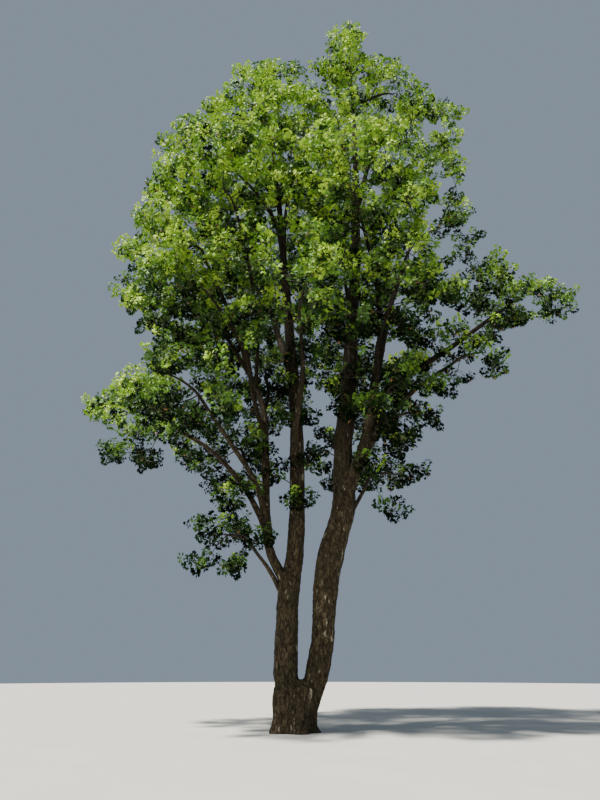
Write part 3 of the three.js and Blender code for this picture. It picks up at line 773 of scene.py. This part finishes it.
def all_masses():
    masses = [
        {"name": name, "middle": np.array(middle), "half": np.array(half), "axes": np.eye(3)}
        for name, (middle, half) in OWN_MASSES.items()
    ]
    for name, values in TIERS.items():
        tier = dict(zip(TIER_FIELDS, values))
        masses += [tier_mass(name, tier, azimuth) for azimuth in tier["azimuths"]]
    return masses


def depth_in(points, mass):
    """How far out in a mass's ellipsoid points lie: 0 in the middle and 1 on its skin."""
    return lengths((points - mass["middle"]) @ mass["axes"].T / mass["half"])


def growth_of(mass):
    """How far a mass's twigs reach, and how far apart its branches stand, as shares."""
    return MASS_GROWTH.get(mass["name"], SHOOT_GROWTH)


def is_inside(points, mass, masses):
    """A mass's space is its ellipsoid, cut flat where it meets its neighbours and the solids' box."""
    inside = depth_in(points, mass) <= growth_of(mass)[0]
    inside &= ((points > cad_box[0]) & (points < cad_box[1])).all(axis=1)
    own = np.mean(mass["half"])
    for other in masses:
        if other is mass:
            continue
        way = other["middle"] - mass["middle"]
        distance = np.linalg.norm(way)
        share = 0.5 + (own**2 - np.mean(other["half"]) ** 2) / (2 * distance**2)
        inside &= share * distance > (points - mass["middle"]) @ way / distance
    return inside


def shoot_masses(limbs):
    """The small leafy shoots, each as a mass of its own."""
    masses = []
    for limb in limbs:
        for height, azimuth in STEM_SHOOTS.get(limb["name"], []):
            point, skin = place_at_height(limb, height)
            axes = axes_at(math.radians(azimuth))
            masses.append(
                {
                    "name": f"shoot_{limb['name']}_{height}",
                    "middle": point + axes[0] * (skin + SHOOT_STANDOFF * SHOOT_HALF[0]),
                    "half": SHOOT_HALF,
                    "axes": axes,
                    "stem": limb["name"],
                    "seat_radius": SHOOT_RADIUS,
                }
            )
    return masses


def start_of(mass, limbs):
    """Where a mass's own stem starts, its direction and its radius."""
    by_name = {limb["name"]: limb for limb in limbs}
    side = mass.get("stem") or ON_SIDE.get(mass["name"])
    if side:
        stem = by_name[side]
        away = np.linalg.norm(mass["middle"] - place_at_height(stem, mass["middle"][2])[0])
        point = place_at_height(stem, mass["middle"][2] - SIDE_SEAT_DROP * away)[0]
        return point, unit(mass["middle"] - point), mass.get("seat_radius", SIDE_SEAT_RADIUS)
    carrier = by_name[AT_TIP.get(mass["name"], "bough_" + mass["name"])]
    points = carrier["points"]
    return points[-1], unit(points[-1] - points[-2]), carrier["radii"][-1]


def on_trunk_plane(points):
    """Points as x and height where their sight lines cross the upright plane through the trunk."""
    rel = points - EYE
    scale = -EYE[1] / rel[:, 1]
    return EYE[0] + rel[:, 0] * scale, EYE[2] + rel[:, 2] * scale


def is_in_outline(points, margin):
    """True inside the crown's outline and outside its sky gaps, as the photo's viewpoint sees it."""
    x, z = on_trunk_plane(points)
    height, left, right = np.array(CROWN_REACH).T
    inside = (x > np.interp(z, height, left) + margin) & (x < np.interp(z, height, right) - margin)
    inside &= (z > height[0] + margin) & (z < height[-1] - margin)
    for gap_x, gap_z, radius in SKY_GAPS:
        inside &= np.hypot(x - gap_x, z - gap_z) > radius + GAP_MARGIN
    return inside


def hides_a_limb(points, limbs):
    """True for points that lie in front of a limb, as the photo's viewpoint sees it."""
    x, z = on_trunk_plane(points)
    hides = np.zeros(len(points), bool)
    for limb in limbs:
        there, radii = samples_of(limb)
        limb_x, limb_z = on_trunk_plane(there)
        away = np.hypot(x[:, None] - limb_x, z[:, None] - limb_z) - radii
        nearest = np.argmin(away, axis=1)
        close = np.take_along_axis(away, nearest[:, None], axis=1)[:, 0] < LIMB_VIEW_MARGIN
        hides |= close & (points[:, 1] < there[nearest, 1])
    return hides


# Growth inside a mass


def points_in_ball(rng, count, depths):
    """Points in all directions, at depths between two shares of a unit ball's radius."""
    way = unit(rng.normal(size=(count, 3)))
    return way * mix(depths[0] ** 3, depths[1] ** 3, rng.random((count, 1))) ** (1 / 3)


def spaced(points, spacing):
    """The points that lie at least the spacing from every one kept before them."""
    kept = np.zeros((0, 3))
    for point in points:
        if not len(kept) or (lengths(kept - point) >= spacing).all():
            kept = np.vstack([kept, point])
    return kept


class Wood:
    """Branches of one mass: each is a line of points that springs from an earlier one."""

    def __init__(self, stem, radius):
        self.stem_radii = radius * np.array(MASS_STEM_TAPER)
        self.lines = [stem]
        self.parents = [-1]
        self.places = []
        self.paths = []
        self.owners = []
        self.add_springs(0, 0.0, MASS_STEM_SPRINGS)

    def add_springs(self, index, path, shares):
        """Places on a line from which branches can spring, at shares of its length."""
        line = self.lines[index]
        way = np.concatenate([[0], np.cumsum(lengths(np.diff(line, axis=0)))])
        for share in shares:
            at = share * way[-1]
            self.places.append(points_along(line, at, way))
            self.paths.append(path + at)
            self.owners.append(index)

    def grow(self, target, rng):
        """A branch to the target from the place that suits it best, bowed and a little crooked."""
        reach = lengths(np.array(self.places) - target)
        best = np.argmin(reach + PATH_WEIGHT * np.array(self.paths))
        place = self.places[best]
        span = target - place
        length = np.linalg.norm(span)
        crook = rng.normal(size=(2, 3)) * BRANCH_CROOK * length
        bow = BRANCH_BOW * length * UP
        line = [place, place + span / 3 - bow + crook[0], place + span * 2 / 3 - bow + crook[1], target]
        self.lines.append(curve_points(line, np.linspace(0, 1, BRANCH_POINTS)))
        self.parents.append(self.owners[best])
        self.add_springs(len(self.lines) - 1, self.paths[best], BRANCH_SPRINGS)
        return self.lines[-1]

    def loads(self):
        """How many branch tips each line carries."""
        loads = np.ones(len(self.lines))
        loads[0] = 0
        for i in range(len(self.lines) - 1, 0, -1):
            loads[self.parents[i]] += loads[i]
        return loads


def mass_stem(mass, start, direction):
    """A mass's stem leaves its carrier straight on, then goes through the middle and outwards.

    The leader's goes through the middle and up.
    """
    middle = mass["middle"]
    turn = start + direction * np.linalg.norm(middle - start) / 2
    out = mass["axes"][2 if mass["name"] == "leader" else 0]
    return np.array([start, turn, middle, middle + out * STEM_PAST_MIDDLE * mass["half"][0]])


def lightness(ends, out, away, mass, rng):
    """How lit a tuft's sprays would be, as painted light and shade for their tints, by what
    LIGHT_WEIGHTS and LOW_SHADE say, with some scatter.
    """
    depth, rise, above, far, sunward = LIGHT_WEIGHTS
    in_crown = (ends - CROWN_MIDDLE) / CROWN_HALF
    light = depth * depth_in(ends, mass) + rise * out[:, 2] + above * away[:, 2]
    light += far * lengths(in_crown) + sunward * in_crown @ SUNWARD
    under_crown = 1 - smooth_step(ends[:, 2], *SHADE_HEIGHTS)
    light -= LOW_SHADE * under_crown * smooth_step(ends[:, 0], *LIT_LEFT)
    return light + rng.normal(0, TUFT_SCATTER)


def tuft_of(line, mass, masses, limbs, rng):
    """The twigs along a branch's outer part, widest round its end, and the sprays that they hold."""
    share = np.sqrt(rng.random(TWIG_TRIES))
    at = mix(TUFT_START, 1, share) * (len(line) - 1)
    centre = points_along(line, at, np.arange(len(line)))
    half = TUFT_HALF * mix(TUFT_NARROW, 1, share)[:, None] * rng.uniform(*TUFT_SIZES)
    tries = centre + points_in_ball(rng, TWIG_TRIES, TWIG_DEPTHS) * half
    tries = tries[is_inside(tries, mass, masses) & is_in_outline(tries, -SPRAY_OUTSIDE)]
    ends = spaced(tries, TWIG_SPACING)
    if "stem" not in mass and rng.random() < LIMB_VIEW_SHARE:
        ends = ends[~hides_a_limb(ends, limbs)]
    places = line[TWIGS_FROM_POINT:]
    roots = places[np.argmin(lengths(ends[:, None] - places[None]), axis=1)]
    middle = mix(roots, ends, TWIG_BEND) - UP * TWIG_SAG
    out = unit(ends - roots)
    away = unit(ends - mass["middle"])
    way = unit(unit(ends - middle) + SPRAY_ALONG * out + SPRAY_RISE * UP)
    light = lightness(ends, out, away, mass, rng)
    return np.stack([roots, middle, ends], axis=1), np.hstack([ends, way, out + away, light[:, None]])


def grow_mass(mass, masses, limbs, seed):
    """The branches, twigs and sprays of one mass."""
    rng = np.random.default_rng(seed)
    start, direction, radius = start_of(mass, limbs)
    wood = Wood(mass_stem(mass, start, direction), radius)
    own_stem = {"name": mass["name"], "points": wood.lines[0], "radii": wood.stem_radii}
    seen_limbs = [limb for limb in (*limbs, own_stem) if limb["name"] not in COVERED_LIMBS]
    reach, spread = growth_of(mass)
    tries = points_in_ball(rng, BRANCH_TRIES, BRANCH_DEPTHS) * mass["half"] * reach
    tries = mass["middle"] + tries @ mass["axes"]
    tries = tries[is_inside(tries, mass, masses) & is_in_outline(tries, TUFT_INSIDE)]
    tufts = spaced(tries, BRANCH_SPACING * spread)
    tufts = tufts[np.argsort(lengths(tufts - start))]
    grown = [tuft_of(wood.grow(tuft, rng), mass, masses, seen_limbs, rng) for tuft in tufts]
    twigs, sprays = zip(*grown)
    return wood, np.concatenate(twigs), np.concatenate(sprays)


# Meshes from arrays


def in_scene(name, data):
    """A new object of the scene."""
    thing = bpy.data.objects.new(name, data)
    bpy.context.scene.collection.objects.link(thing)
    return thing


def mesh_from(bm, name):
    """A new mesh with what a bmesh holds, which is freed."""
    mesh = bpy.data.meshes.new(name)
    bm.to_mesh(mesh)
    bm.free()
    return mesh


def mesh_object(name, vertices, faces, smooth):
    """A mesh object from an array of points and one of faces that all have as many sides."""
    mesh = bpy.data.meshes.new(name)
    mesh.vertices.add(len(vertices))
    mesh.vertices.foreach_set("co", vertices.astype(np.float32).ravel())
    mesh.loops.add(faces.size)
    mesh.loops.foreach_set("vertex_index", faces.astype(np.int32).ravel())
    mesh.polygons.add(len(faces))
    mesh.polygons.foreach_set("loop_start", np.arange(len(faces), dtype=np.int32) * faces.shape[1])
    mesh.polygons.foreach_set("use_smooth", np.full(len(faces), smooth))
    mesh.update(calc_edges=True)
    return in_scene(name, mesh)


def tubes(lines, radii, sides):
    """Tapering tubes round many lines at once: lines are (n, k, 3) and radii (n, k)."""
    count, steps, _ = lines.shape
    tangents = unit(np.gradient(lines, axis=1))
    upright = np.abs(tangents[:, :1, 2:]) > UPRIGHT
    helper = np.where(upright, np.array([1.0, 0, 0]), UP)
    across = unit(np.cross(tangents, np.broadcast_to(helper, tangents.shape)))
    other = np.cross(tangents, across)
    angle = 2 * np.pi * np.arange(sides)[:, None] / sides
    ring = across[:, :, None] * np.cos(angle) + other[:, :, None] * np.sin(angle)
    vertices = lines[:, :, None] + ring * radii[:, :, None, None]
    k = np.arange(sides)
    quad = np.stack([k, (k + 1) % sides, (k + 1) % sides + sides, k + sides], axis=1)
    quads = (quad[None] + sides * np.arange(steps - 1)[:, None, None]).reshape(-1, 4)
    faces = (quads[None] + sides * steps * np.arange(count)[:, None, None]).reshape(-1, 4)
    return vertices.reshape(-1, 3), faces


def placed_outlines(outline, base, along, face, sizes):
    """Many copies of one outline as fans of triangles, each with its place, direction and size."""
    across = np.cross(along, face)
    x, y, z = outline.T[:, None, :, None]
    local = across[:, None] * x + along[:, None] * y + face[:, None] * z
    vertices = base[:, None] + local * sizes[:, None, None]
    k = np.arange(1, len(outline) - 1)
    fan = np.stack([np.zeros_like(k), k, k + 1], axis=1)
    faces = (fan[None] + len(outline) * np.arange(len(base))[:, None, None]).reshape(-1, 3)
    return vertices.reshape(-1, 3), faces


# Leaves and seeds


def leaf_places(sprays, rng):
    """Bases, directions, upper faces, lengths and spray numbers of the leaves, in pairs."""
    number = np.repeat(np.arange(len(sprays)), LEAVES_PER_SPRAY)
    rank = np.tile(np.arange(LEAVES_PER_SPRAY), len(sprays))
    end, way, out = (sprays[number, k : k + 3] for k in (0, 3, 6))
    turn = rng.random(len(sprays))[number] * 2 * np.pi + (rank % 2) * np.pi + (rank // 2) * np.pi / 2
    turn = (turn + rng.normal(size=len(turn)) * TURN_SCATTER)[:, None]
    across = unit(np.cross(way, ASIDE))
    radial = across * np.cos(turn) + np.cross(way, across) * np.sin(turn)
    back = ((rank // 2) / (LEAVES_PER_SPRAY / 2))[:, None]
    base = end - way * back * SPRAY_LENGTH + radial * mix(*STALK_LENGTH, back)
    along = radial + way * (LEAF_FORWARD - FORWARD_LOSS * back) - UP * LEAF_DROOP
    along = unit(along + rng.normal(size=base.shape) * LEAF_SCATTER)
    face = UP * FACE_UP + unit(out) * FACE_OUT + rng.normal(size=base.shape) * FACE_SCATTER
    face = unit(face - along * np.sum(face * along, axis=1, keepdims=True))
    variation = rng.normal(size=len(base)).clip(-VARIATION_LIMIT, VARIATION_LIMIT)
    return base, along, face, LEAF_LENGTH * (1 + LEAF_VARIATION * variation), number


def is_off_limbs(points, limbs, margin):
    """True for points that are outside every limb."""
    off = np.ones(len(points), bool)
    for limb in limbs:
        there, radii = samples_of(limb)
        reach = radii.max() + margin
        near = ((points > there.min(0) - reach) & (points < there.max(0) + reach)).all(axis=1)
        away = lengths(points[near, None] - there[None]) - radii
        off[near] &= away.min(axis=1) > margin
    return off


def tint_numbers(sprays, rng):
    """One tint for each spray, as painted light and shade: lighter outside and on top, darker inside,
    with some scatter.
    """
    light = sprays[:, 9] + SPRAY_SCATTER * rng.normal(size=len(sprays))
    order = np.argsort(np.argsort(-light))
    return order * len(LEAF_TINTS) // len(sprays)


def seed_clusters(sprays, rng):
    """Winged seeds that hang below some sprays, below more of them towards the top."""
    share = mix(*SEEDED_SHARES, sprays[:, 2] / cad_box[1][2])
    chosen = sprays[rng.random(len(sprays)) < share]
    base = np.repeat(chosen[:, :3], WINGS, axis=0) - UP * SEED_STALK
    turn = rng.random(len(base)) * 2 * np.pi
    flat = np.stack([np.cos(turn), np.sin(turn), np.zeros(len(base))], axis=1)
    along = unit(flat - UP * rng.uniform(*WING_SLOPES, (len(base), 1)))
    face = unit(np.cross(along, np.roll(flat, 1, axis=1)))
    base = base + flat * WING_APART - UP * rng.uniform(*SEED_DROPS, (len(base), 1))
    sizes = WING_LENGTH * rng.uniform(*WING_SIZES, len(base))
    return placed_outlines(WING_OUTLINE, base, along, face, sizes)


# Bark


def finer_noise(points, depth, grain):
    share, finer, salt = grain
    return depth * share * smooth_noise(points * finer, salt)


def knot_relief(points):
    """The knot hole's depth and its raised rim."""
    size = (KNOT_HOLE["width"], KNOT_HOLE["width"], KNOT_HOLE["height"])
    near = lengths((points - KNOT_HOLE["place"]) / size)
    height, place, width = KNOT_RIM
    rim = height * np.exp(-(((near - place) / width) ** 2))
    return KNOT_HOLE["depth"] * (rim - np.exp(-((near / KNOT_EDGE) ** KNOT_STEEPNESS)))


def bark_relief(points, radius):
    """How far the bark stands out at each point: lumps, plates parted by cracks, and a knot hole."""
    thick = np.clip(radius / FULL_RELIEF_RADIUS, LEAST_RELIEF, 1)
    squashed = points * (1, 1, 1 / PLATE_STRETCH) / PLATE_WIDTH
    relief = PLATE_DEPTH * (smooth_step(crack_distance(squashed), 0, CRACK_WIDTH) - 1)
    relief += finer_noise(squashed, PLATE_DEPTH, PLATE_GRAIN)
    relief += LUMP_DEPTH * smooth_noise(points / LUMP_WIDTH, LUMP_SALT)
    relief += finer_noise(points / LUMP_WIDTH, LUMP_DEPTH, LUMP_GRAIN)
    return relief * thick + knot_relief(points)


def share_at_height(limb, height):
    """The share of a limb's rows at which its centre line reaches a height."""
    shares = np.linspace(0, 1, HEIGHT_SAMPLES)
    return np.interp(height, curve_points(limb["rows"][:, :3], shares)[:, 2], shares)


def limb_line(limb, low, high, spacing):
    """A limb's centre line and radii, smooth and closely spaced, between two shares of it."""
    rows = limb["rows"]
    coarse = curve_points(rows[:, :3], np.linspace(low, high, LENGTH_SAMPLES))
    steps = max(int(lengths(np.diff(coarse, axis=0)).sum() / spacing), FEWEST_STEPS)
    shares = np.linspace(low, high, steps + 1)
    return curve_points(rows[:, :3], shares), radii_at(rows, shares)


def limb_piece(limb):
    """A limb with its bark: a stem starts inside the trunk's stub, a bough inside its parent."""
    if limb["parent"] is None:
        sides, spacing = STEM_MESH
        points, radii = limb_line(limb, share_at_height(limb, STEM_LOW), 1.0, spacing)
        radii = radii - STUB_INSET * (1 - smooth_step(points[:, 2], STEM_LOW, STEM_LOW + STUB_FADE))
    else:
        sides, spacing = THICK_MESH if limb["radii"].max() > THICK_RADIUS else THIN_MESH
        points, radii = limb_line(limb, 0.0, 1.0, spacing)
        skin = place_at_height(limb["parent"], points[0][2])[1]
        out = lengths(points - points[0]) - skin
        radii = radii * (1 + COLLAR * np.exp(-np.maximum(out, 0) / (COLLAR_RUN * radii)))
    vertices, faces = tubes(points[None], radii[None], sides)
    centre = np.repeat(points, sides, axis=0)
    relief = bark_relief(vertices, np.repeat(radii, sides))
    vertices = vertices + unit(vertices - centre) * relief[:, None]
    return mesh_object(limb["name"] + "_bark", vertices, faces, True)


def trunk_rings():
    """Rings of points up the trunk, with ridges where the roots leave it."""
    height, middle, wide, deep, swell = np.array(TRUNK_SECTIONS).T
    angle = 2 * np.pi * np.arange(TRUNK_SIDES) / TRUNK_SIDES
    rings = []
    for z in np.linspace(height[0], height[-1], TRUNK_RINGS):
        x, w, d, s = (np.interp(z, height, row) for row in (middle, wide, deep, swell))
        ridge = s * np.cos(ROOTS * angle)
        ring = [x + (w + ridge) * np.cos(angle), (d + ridge) * np.sin(angle), np.full(TRUNK_SIDES, z)]
        rings.append(np.stack(ring, axis=1))
    rings.insert(0, rings[0] - UP * BELOW_CUT)
    return np.array(rings)


def add_closed_tube(bm, rings):
    """A tube through rings of points, closed at both ends."""
    rows = [[bm.verts.new(p) for p in ring] for ring in rings]
    sides = len(rows[0])
    for low, high in zip(rows, rows[1:]):
        for k in range(sides):
            bm.faces.new((low[k], low[(k + 1) % sides], high[(k + 1) % sides], high[k]))
    bm.faces.new(rows[0][::-1])
    bm.faces.new(rows[-1])


def field_of(items, field, width, kind=float):
    """One field of all of a mesh's points or edges, a row to each."""
    values = np.empty(len(items) * width, dtype=kind)
    items.foreach_get(field, values)
    return values.reshape(-1, width)


def smoothed(mesh):
    """A mesh's points, each moved towards the middle of its neighbours a few times."""
    points = field_of(mesh.vertices, "co", 3)
    edges = field_of(mesh.edges, "vertices", 2, np.int32)
    ends = np.concatenate([edges, edges[:, ::-1]])
    count = np.bincount(ends[:, 0], minlength=len(points))[:, None]
    for _ in range(SMOOTHING_PASSES):
        sums = [np.bincount(ends[:, 0], points[ends[:, 1], k], len(points)) for k in range(3)]
        points = mix(points, np.stack(sums, axis=1) / count, SMOOTHING)
    return points


def fused_core(stems):
    """The trunk and both stems' stubs, fused into one mesh."""
    bm = bmesh.new()
    add_closed_tube(bm, trunk_rings())
    for stem in stems:
        points, radii = limb_line(stem, 0.0, share_at_height(stem, STUB_TOP), STEM_MESH[1])
        radii = radii - STUB_INSET * smooth_step(points[:, 2], STUB_TOP - STUB_FADE, STUB_TOP)
        rings = tubes(points[None], radii[None], STUB_SIDES)[0]
        add_closed_tube(bm, rings.reshape(-1, STUB_SIDES, 3))
    bmesh.ops.recalc_face_normals(bm, faces=bm.faces)
    core = in_scene("trunk_core", mesh_from(bm, "trunk_core"))
    remesh = core.modifiers.new("fuse", "REMESH")
    remesh.mode = "VOXEL"
    remesh.voxel_size = VOXEL
    fused = bpy.data.meshes.new_from_object(core.evaluated_get(bpy.context.evaluated_depsgraph_get()))
    bpy.data.objects.remove(core)
    return fused


def cut_at_ground(mesh):
    """Takes off what is below the ground and closes the flat cut."""
    bm = bmesh.new()
    bm.from_mesh(mesh)
    parts = bm.verts[:] + bm.edges[:] + bm.faces[:]
    cut = bmesh.ops.bisect_plane(bm, geom=parts, plane_co=(0, 0, 0), plane_no=UP, clear_inner=True)
    rim = [part for part in cut["geom_cut"] if isinstance(part, bmesh.types.BMEdge)]
    bmesh.ops.contextual_create(bm, geom=rim)
    for face in bm.faces:
        face.smooth = True
    bm.to_mesh(mesh)
    bm.free()


def trunk_piece(stems):
    """The trunk and both stems' feet, smoothed where they part, with bark and cut at the ground."""
    mesh = fused_core(stems)
    points = smoothed(mesh)
    mesh.vertices.foreach_set("co", points.ravel())
    mesh.update()
    normals = field_of(mesh.vertex_normals, "vector", 3)
    points = points + normals * bark_relief(points, FULL_RELIEF_RADIUS)[:, None]
    mesh.vertices.foreach_set("co", points.ravel())
    cut_at_ground(mesh)
    return in_scene("trunk_bark", mesh)


# Materials


def linear(rgb):
    """A colour as seen on a screen, from 0 to 255, in the renderer's own measure."""
    share = np.array(rgb) / 255
    return (*np.where(share < 0.04045, share / 12.92, ((share + 0.055) / 1.055) ** 2.4), 1.0)


class Nodes:
    """A material, with short ways to add and join its nodes."""

    def __init__(self, name, roughness, specular):
        self.material = bpy.data.materials.new(name)
        self.material.use_nodes = True
        self.tree = self.material.node_tree
        self.shader = self.tree.nodes["Principled BSDF"]
        self.shader.inputs["Roughness"].default_value = roughness
        self.shader.inputs["Specular IOR Level"].default_value = specular
        self.place = self.tree.nodes.new("ShaderNodeTexCoord").outputs["Object"]

    def link(self, output, node_input):
        self.tree.links.new(output, node_input)

    def add(self, kind, vector=None, **values):
        """A node of a kind, with a vector linked to it and values set on its inputs."""
        node = self.tree.nodes.new("ShaderNode" + kind)
        if vector is not None:
            self.link(vector, node.inputs["Vector"])
        for name, value in values.items():
            node.inputs[name].default_value = value
        return node

    def stretched(self, scale):
        return self.add("Mapping", self.place, Scale=scale).outputs["Vector"]

    def noise(self, vector, scale, detail):
        return self.add("TexNoise", vector, Scale=scale, Detail=detail).outputs["Fac"]

    def height(self):
        """The height above the ground, as a share of the tree's."""
        share = self.add("Math")
        share.operation = "DIVIDE"
        self.link(self.add("SeparateXYZ", self.place).outputs["Z"], share.inputs[0])
        share.inputs[1].default_value = float(cad_box[1][2])
        return share.outputs[0]

    def bent(self, vector, scale, amount):
        """Coordinates pushed about by noise, so that what is drawn from them isn't regular."""
        node = self.add("VectorMath")
        node.operation = "MULTIPLY_ADD"
        self.link(self.add("TexNoise", vector, Scale=scale).outputs["Color"], node.inputs[0])
        node.inputs[1].default_value = (amount, amount, amount)
        self.link(vector, node.inputs[2])
        return node.outputs["Vector"]

    def cells(self, vector, scale):
        """A shade for each cell, and the distance to the cells' edges."""
        outputs = []
        for feature, output in (("F1", "Color"), ("DISTANCE_TO_EDGE", "Distance")):
            node = self.add("TexVoronoi", vector, Scale=scale)
            node.feature = feature
            outputs.append(node.outputs[output])
        return outputs

    def ramp(self, share, low, high, low_colour, high_colour):
        """A colour that goes from one to another between two limits of the share."""
        node = self.add("ValToRGB")
        ends = zip(node.color_ramp.elements, (low, high), (low_colour, high_colour))
        for element, position, colour in ends:
            element.position = position
            element.color = linear(colour)
        self.link(share, node.inputs["Fac"])
        return node.outputs["Color"]

    def mask(self, share, low, high, most=255):
        """Black up to the low limit, and from the high one on white, or a grey."""
        return self.ramp(share, low, high, (0, 0, 0), (most, most, most))

    def blend(self, share, first, second):
        node = self.add("Mix")
        node.data_type = "RGBA"
        self.link(share, node.inputs["Factor"])
        self.link(first, node.inputs["A"])
        self.link(second, node.inputs["B"])
        return node.outputs["Result"]

    def bump(self, height, strength, distance):
        node = self.add("Bump", Strength=strength, Distance=distance)
        self.link(height, node.inputs["Height"])
        self.link(node.outputs["Normal"], self.shader.inputs["Normal"])


def varied_material(name, colour, shade, roughness, specular, scale):
    """One colour that varies gently from place to place."""
    nodes = Nodes(name, roughness, specular)
    share = nodes.noise(nodes.place, scale, MOTTLE_DETAIL)
    nodes.link(nodes.ramp(share, *MOTTLE_LIMITS, shade, colour), nodes.shader.inputs["Base Color"])
    return nodes.material


def plain_look(name):
    return varied_material(name, *LOOKS[name])


def bark_material():
    """Grey-brown bark in small upright scales, each of its own shade, with a few pale flakes."""
    nodes = Nodes("bark", *BARK_FINISH)
    upright = nodes.bent(nodes.stretched(SCALE_STRETCH), *SCALE_BEND)
    grain = nodes.noise(nodes.stretched(GRAIN_STRETCH), *GRAIN_NOISE)
    scale, edge = nodes.cells(upright, SCALES_PER_METRE)
    flakes = nodes.noise(upright, *FLAKE_NOISE)
    broad = nodes.noise(nodes.place, *DAMP_NOISE)
    shades = {name: nodes.ramp(grain, *GRAIN_LIMITS, *ends) for name, ends in BARK_COLOURS.items()}
    colour = nodes.blend(nodes.mask(scale, *LIGHT_LIMITS), shades["dark"], shades["light"])
    colour = nodes.blend(nodes.mask(flakes, *FLAKE_LIMITS), colour, shades["pale"])
    colour = nodes.blend(nodes.mask(broad, *DAMP_LIMITS), colour, shades["damp"])
    colour = nodes.blend(nodes.mask(edge, *CRACK_LIMITS), shades["crack"], colour)
    # Painted shade: the bark darkens with height, up where the crown shades the limbs
    colour = nodes.blend(nodes.mask(nodes.height(), *CROWN_SHADE_LIMITS), colour, shades["painted_crown_shade"])
    nodes.link(colour, nodes.shader.inputs["Base Color"])
    nodes.bump(grain, *GRAIN_BUMP)
    return nodes.material


# The scene


def finished(piece, material, replaced):
    """A piece gets its material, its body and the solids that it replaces."""
    piece.data.materials.clear()
    piece.data.materials.append(material)
    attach(piece, "root")
    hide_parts(*replaced)


def make_camera():
    camera = in_scene("camera", bpy.data.cameras.new("camera"))
    camera.data.lens = LENS_MM
    camera.location = EYE
    camera.rotation_euler = (math.radians(90 + PITCH_DEG), 0, 0)
    bpy.context.scene.camera = camera


def make_light():
    """A broad sun from the upper left front, and a pale sky all round."""
    sun = in_scene("sun", bpy.data.lights.new("sun", "SUN"))
    sun.data.energy = SUN_POWER
    sun.data.angle = math.radians(SUN_WIDTH_DEG)
    sun.data.color = SUN_COLOUR
    sun.rotation_euler = (math.radians(SUN_TILT_DEG), 0, math.radians(SUN_TURN_DEG))
    world = bpy.data.worlds.new("sky")
    world.use_nodes = True
    background = world.node_tree.nodes["Background"]
    background.inputs["Color"].default_value = linear(SKY_COLOUR)
    background.inputs["Strength"].default_value = SKY_POWER
    bpy.context.scene.world = world


def make_floor():
    bm = bmesh.new()
    bmesh.ops.create_circle(bm, cap_ends=True, segments=FLOOR_SIDES, radius=FLOOR_RADIUS)
    floor = in_scene("floor", mesh_from(bm, "floor"))
    floor.data.materials.append(plain_look("floor"))


def branch_piece(woods):
    """The stems and branches of all the masses, as one mesh."""
    lines, radii = [], []
    for wood in woods:
        lines += wood.lines[1:]
        for thick in (BRANCH_TIP_RADIUS * wood.loads() ** (1 / PIPE_POWER))[1:]:
            radii.append(np.linspace(thick, BRANCH_TIP_RADIUS * BRANCH_END, BRANCH_POINTS))
    shares = np.linspace(0, 1, MASS_STEM_POINTS)
    stems = [curve_points(wood.lines[0], shares) for wood in woods]
    last = len(MASS_STEM_TAPER) - 1
    stem_radii = [np.interp(shares * last, range(last + 1), wood.stem_radii) for wood in woods]
    first, first_faces = tubes(np.array(stems), np.array(stem_radii), MASS_STEM_SIDES)
    rest, rest_faces = tubes(np.array(lines), np.array(radii), BRANCH_SIDES)
    faces = np.concatenate([first_faces, rest_faces + len(first)])
    return mesh_object("branches", np.concatenate([first, rest]), faces, True)


def twig_piece(twigs):
    radii = np.linspace(TWIG_ROOT_RADIUS, TWIG_END_RADIUS, twigs.shape[1])
    return mesh_object("twigs", *tubes(twigs, np.tile(radii, (len(twigs), 1)), TWIG_SIDES), True)


def make_leaves(sprays, limbs, foliage, rng):
    """The leaves of all sprays, a piece to each tint, without those that would be in a limb."""
    base, along, face, length, number = leaf_places(sprays, rng)
    kept = is_off_limbs(base + along * length[:, None] / 2, limbs, LEAF_CLEARANCE)
    tint = tint_numbers(sprays, rng)[number]
    for index, (name, (colour, shade, gloss)) in enumerate(LEAF_TINTS.items()):
        own = kept & (tint == index)
        shapes = placed_outlines(LEAF_OUTLINE, base[own], along[own], face[own], length[own])
        material = varied_material(name, colour, shade, LEAF_ROUGHNESS, gloss, LEAF_MOTTLE)
        finished(mesh_object(name, *shapes, False), material, foliage)


def make_crown(masses, limbs):
    """Branches, twigs, leaves and seeds of every mass and shoot, each kind joined."""
    plots = [(mass, masses) for mass in masses] + [(shoot, []) for shoot in shoot_masses(limbs)]
    grown = [grow_mass(*plot, limbs, FOLIAGE_SEED + index) for index, plot in enumerate(plots)]
    woods, twigs, sprays = zip(*grown)
    sprays = np.concatenate(sprays)
    foliage = ["foliage_" + mass["name"] for mass in masses]
    rng = np.random.default_rng(FOLIAGE_SEED)
    finished(branch_piece(woods), plain_look("twig_bark"), foliage)
    finished(twig_piece(np.concatenate(twigs)), plain_look("green_twig"), foliage)
    make_leaves(sprays, limbs, foliage, rng)
    seeds = mesh_object("seeds", *seed_clusters(sprays, rng), False)
    finished(seeds, plain_look("seeds"), foliage)


def main():
    make_camera()
    make_light()
    make_floor()
    masses = all_masses()
    limbs = all_limbs(masses)
    bark = bark_material()
    finished(trunk_piece(limbs[:2]), bark, ["trunk"])
    for limb in limbs:
        finished(limb_piece(limb), bark, [limb["name"]])
    make_crown(masses, limbs)


main()
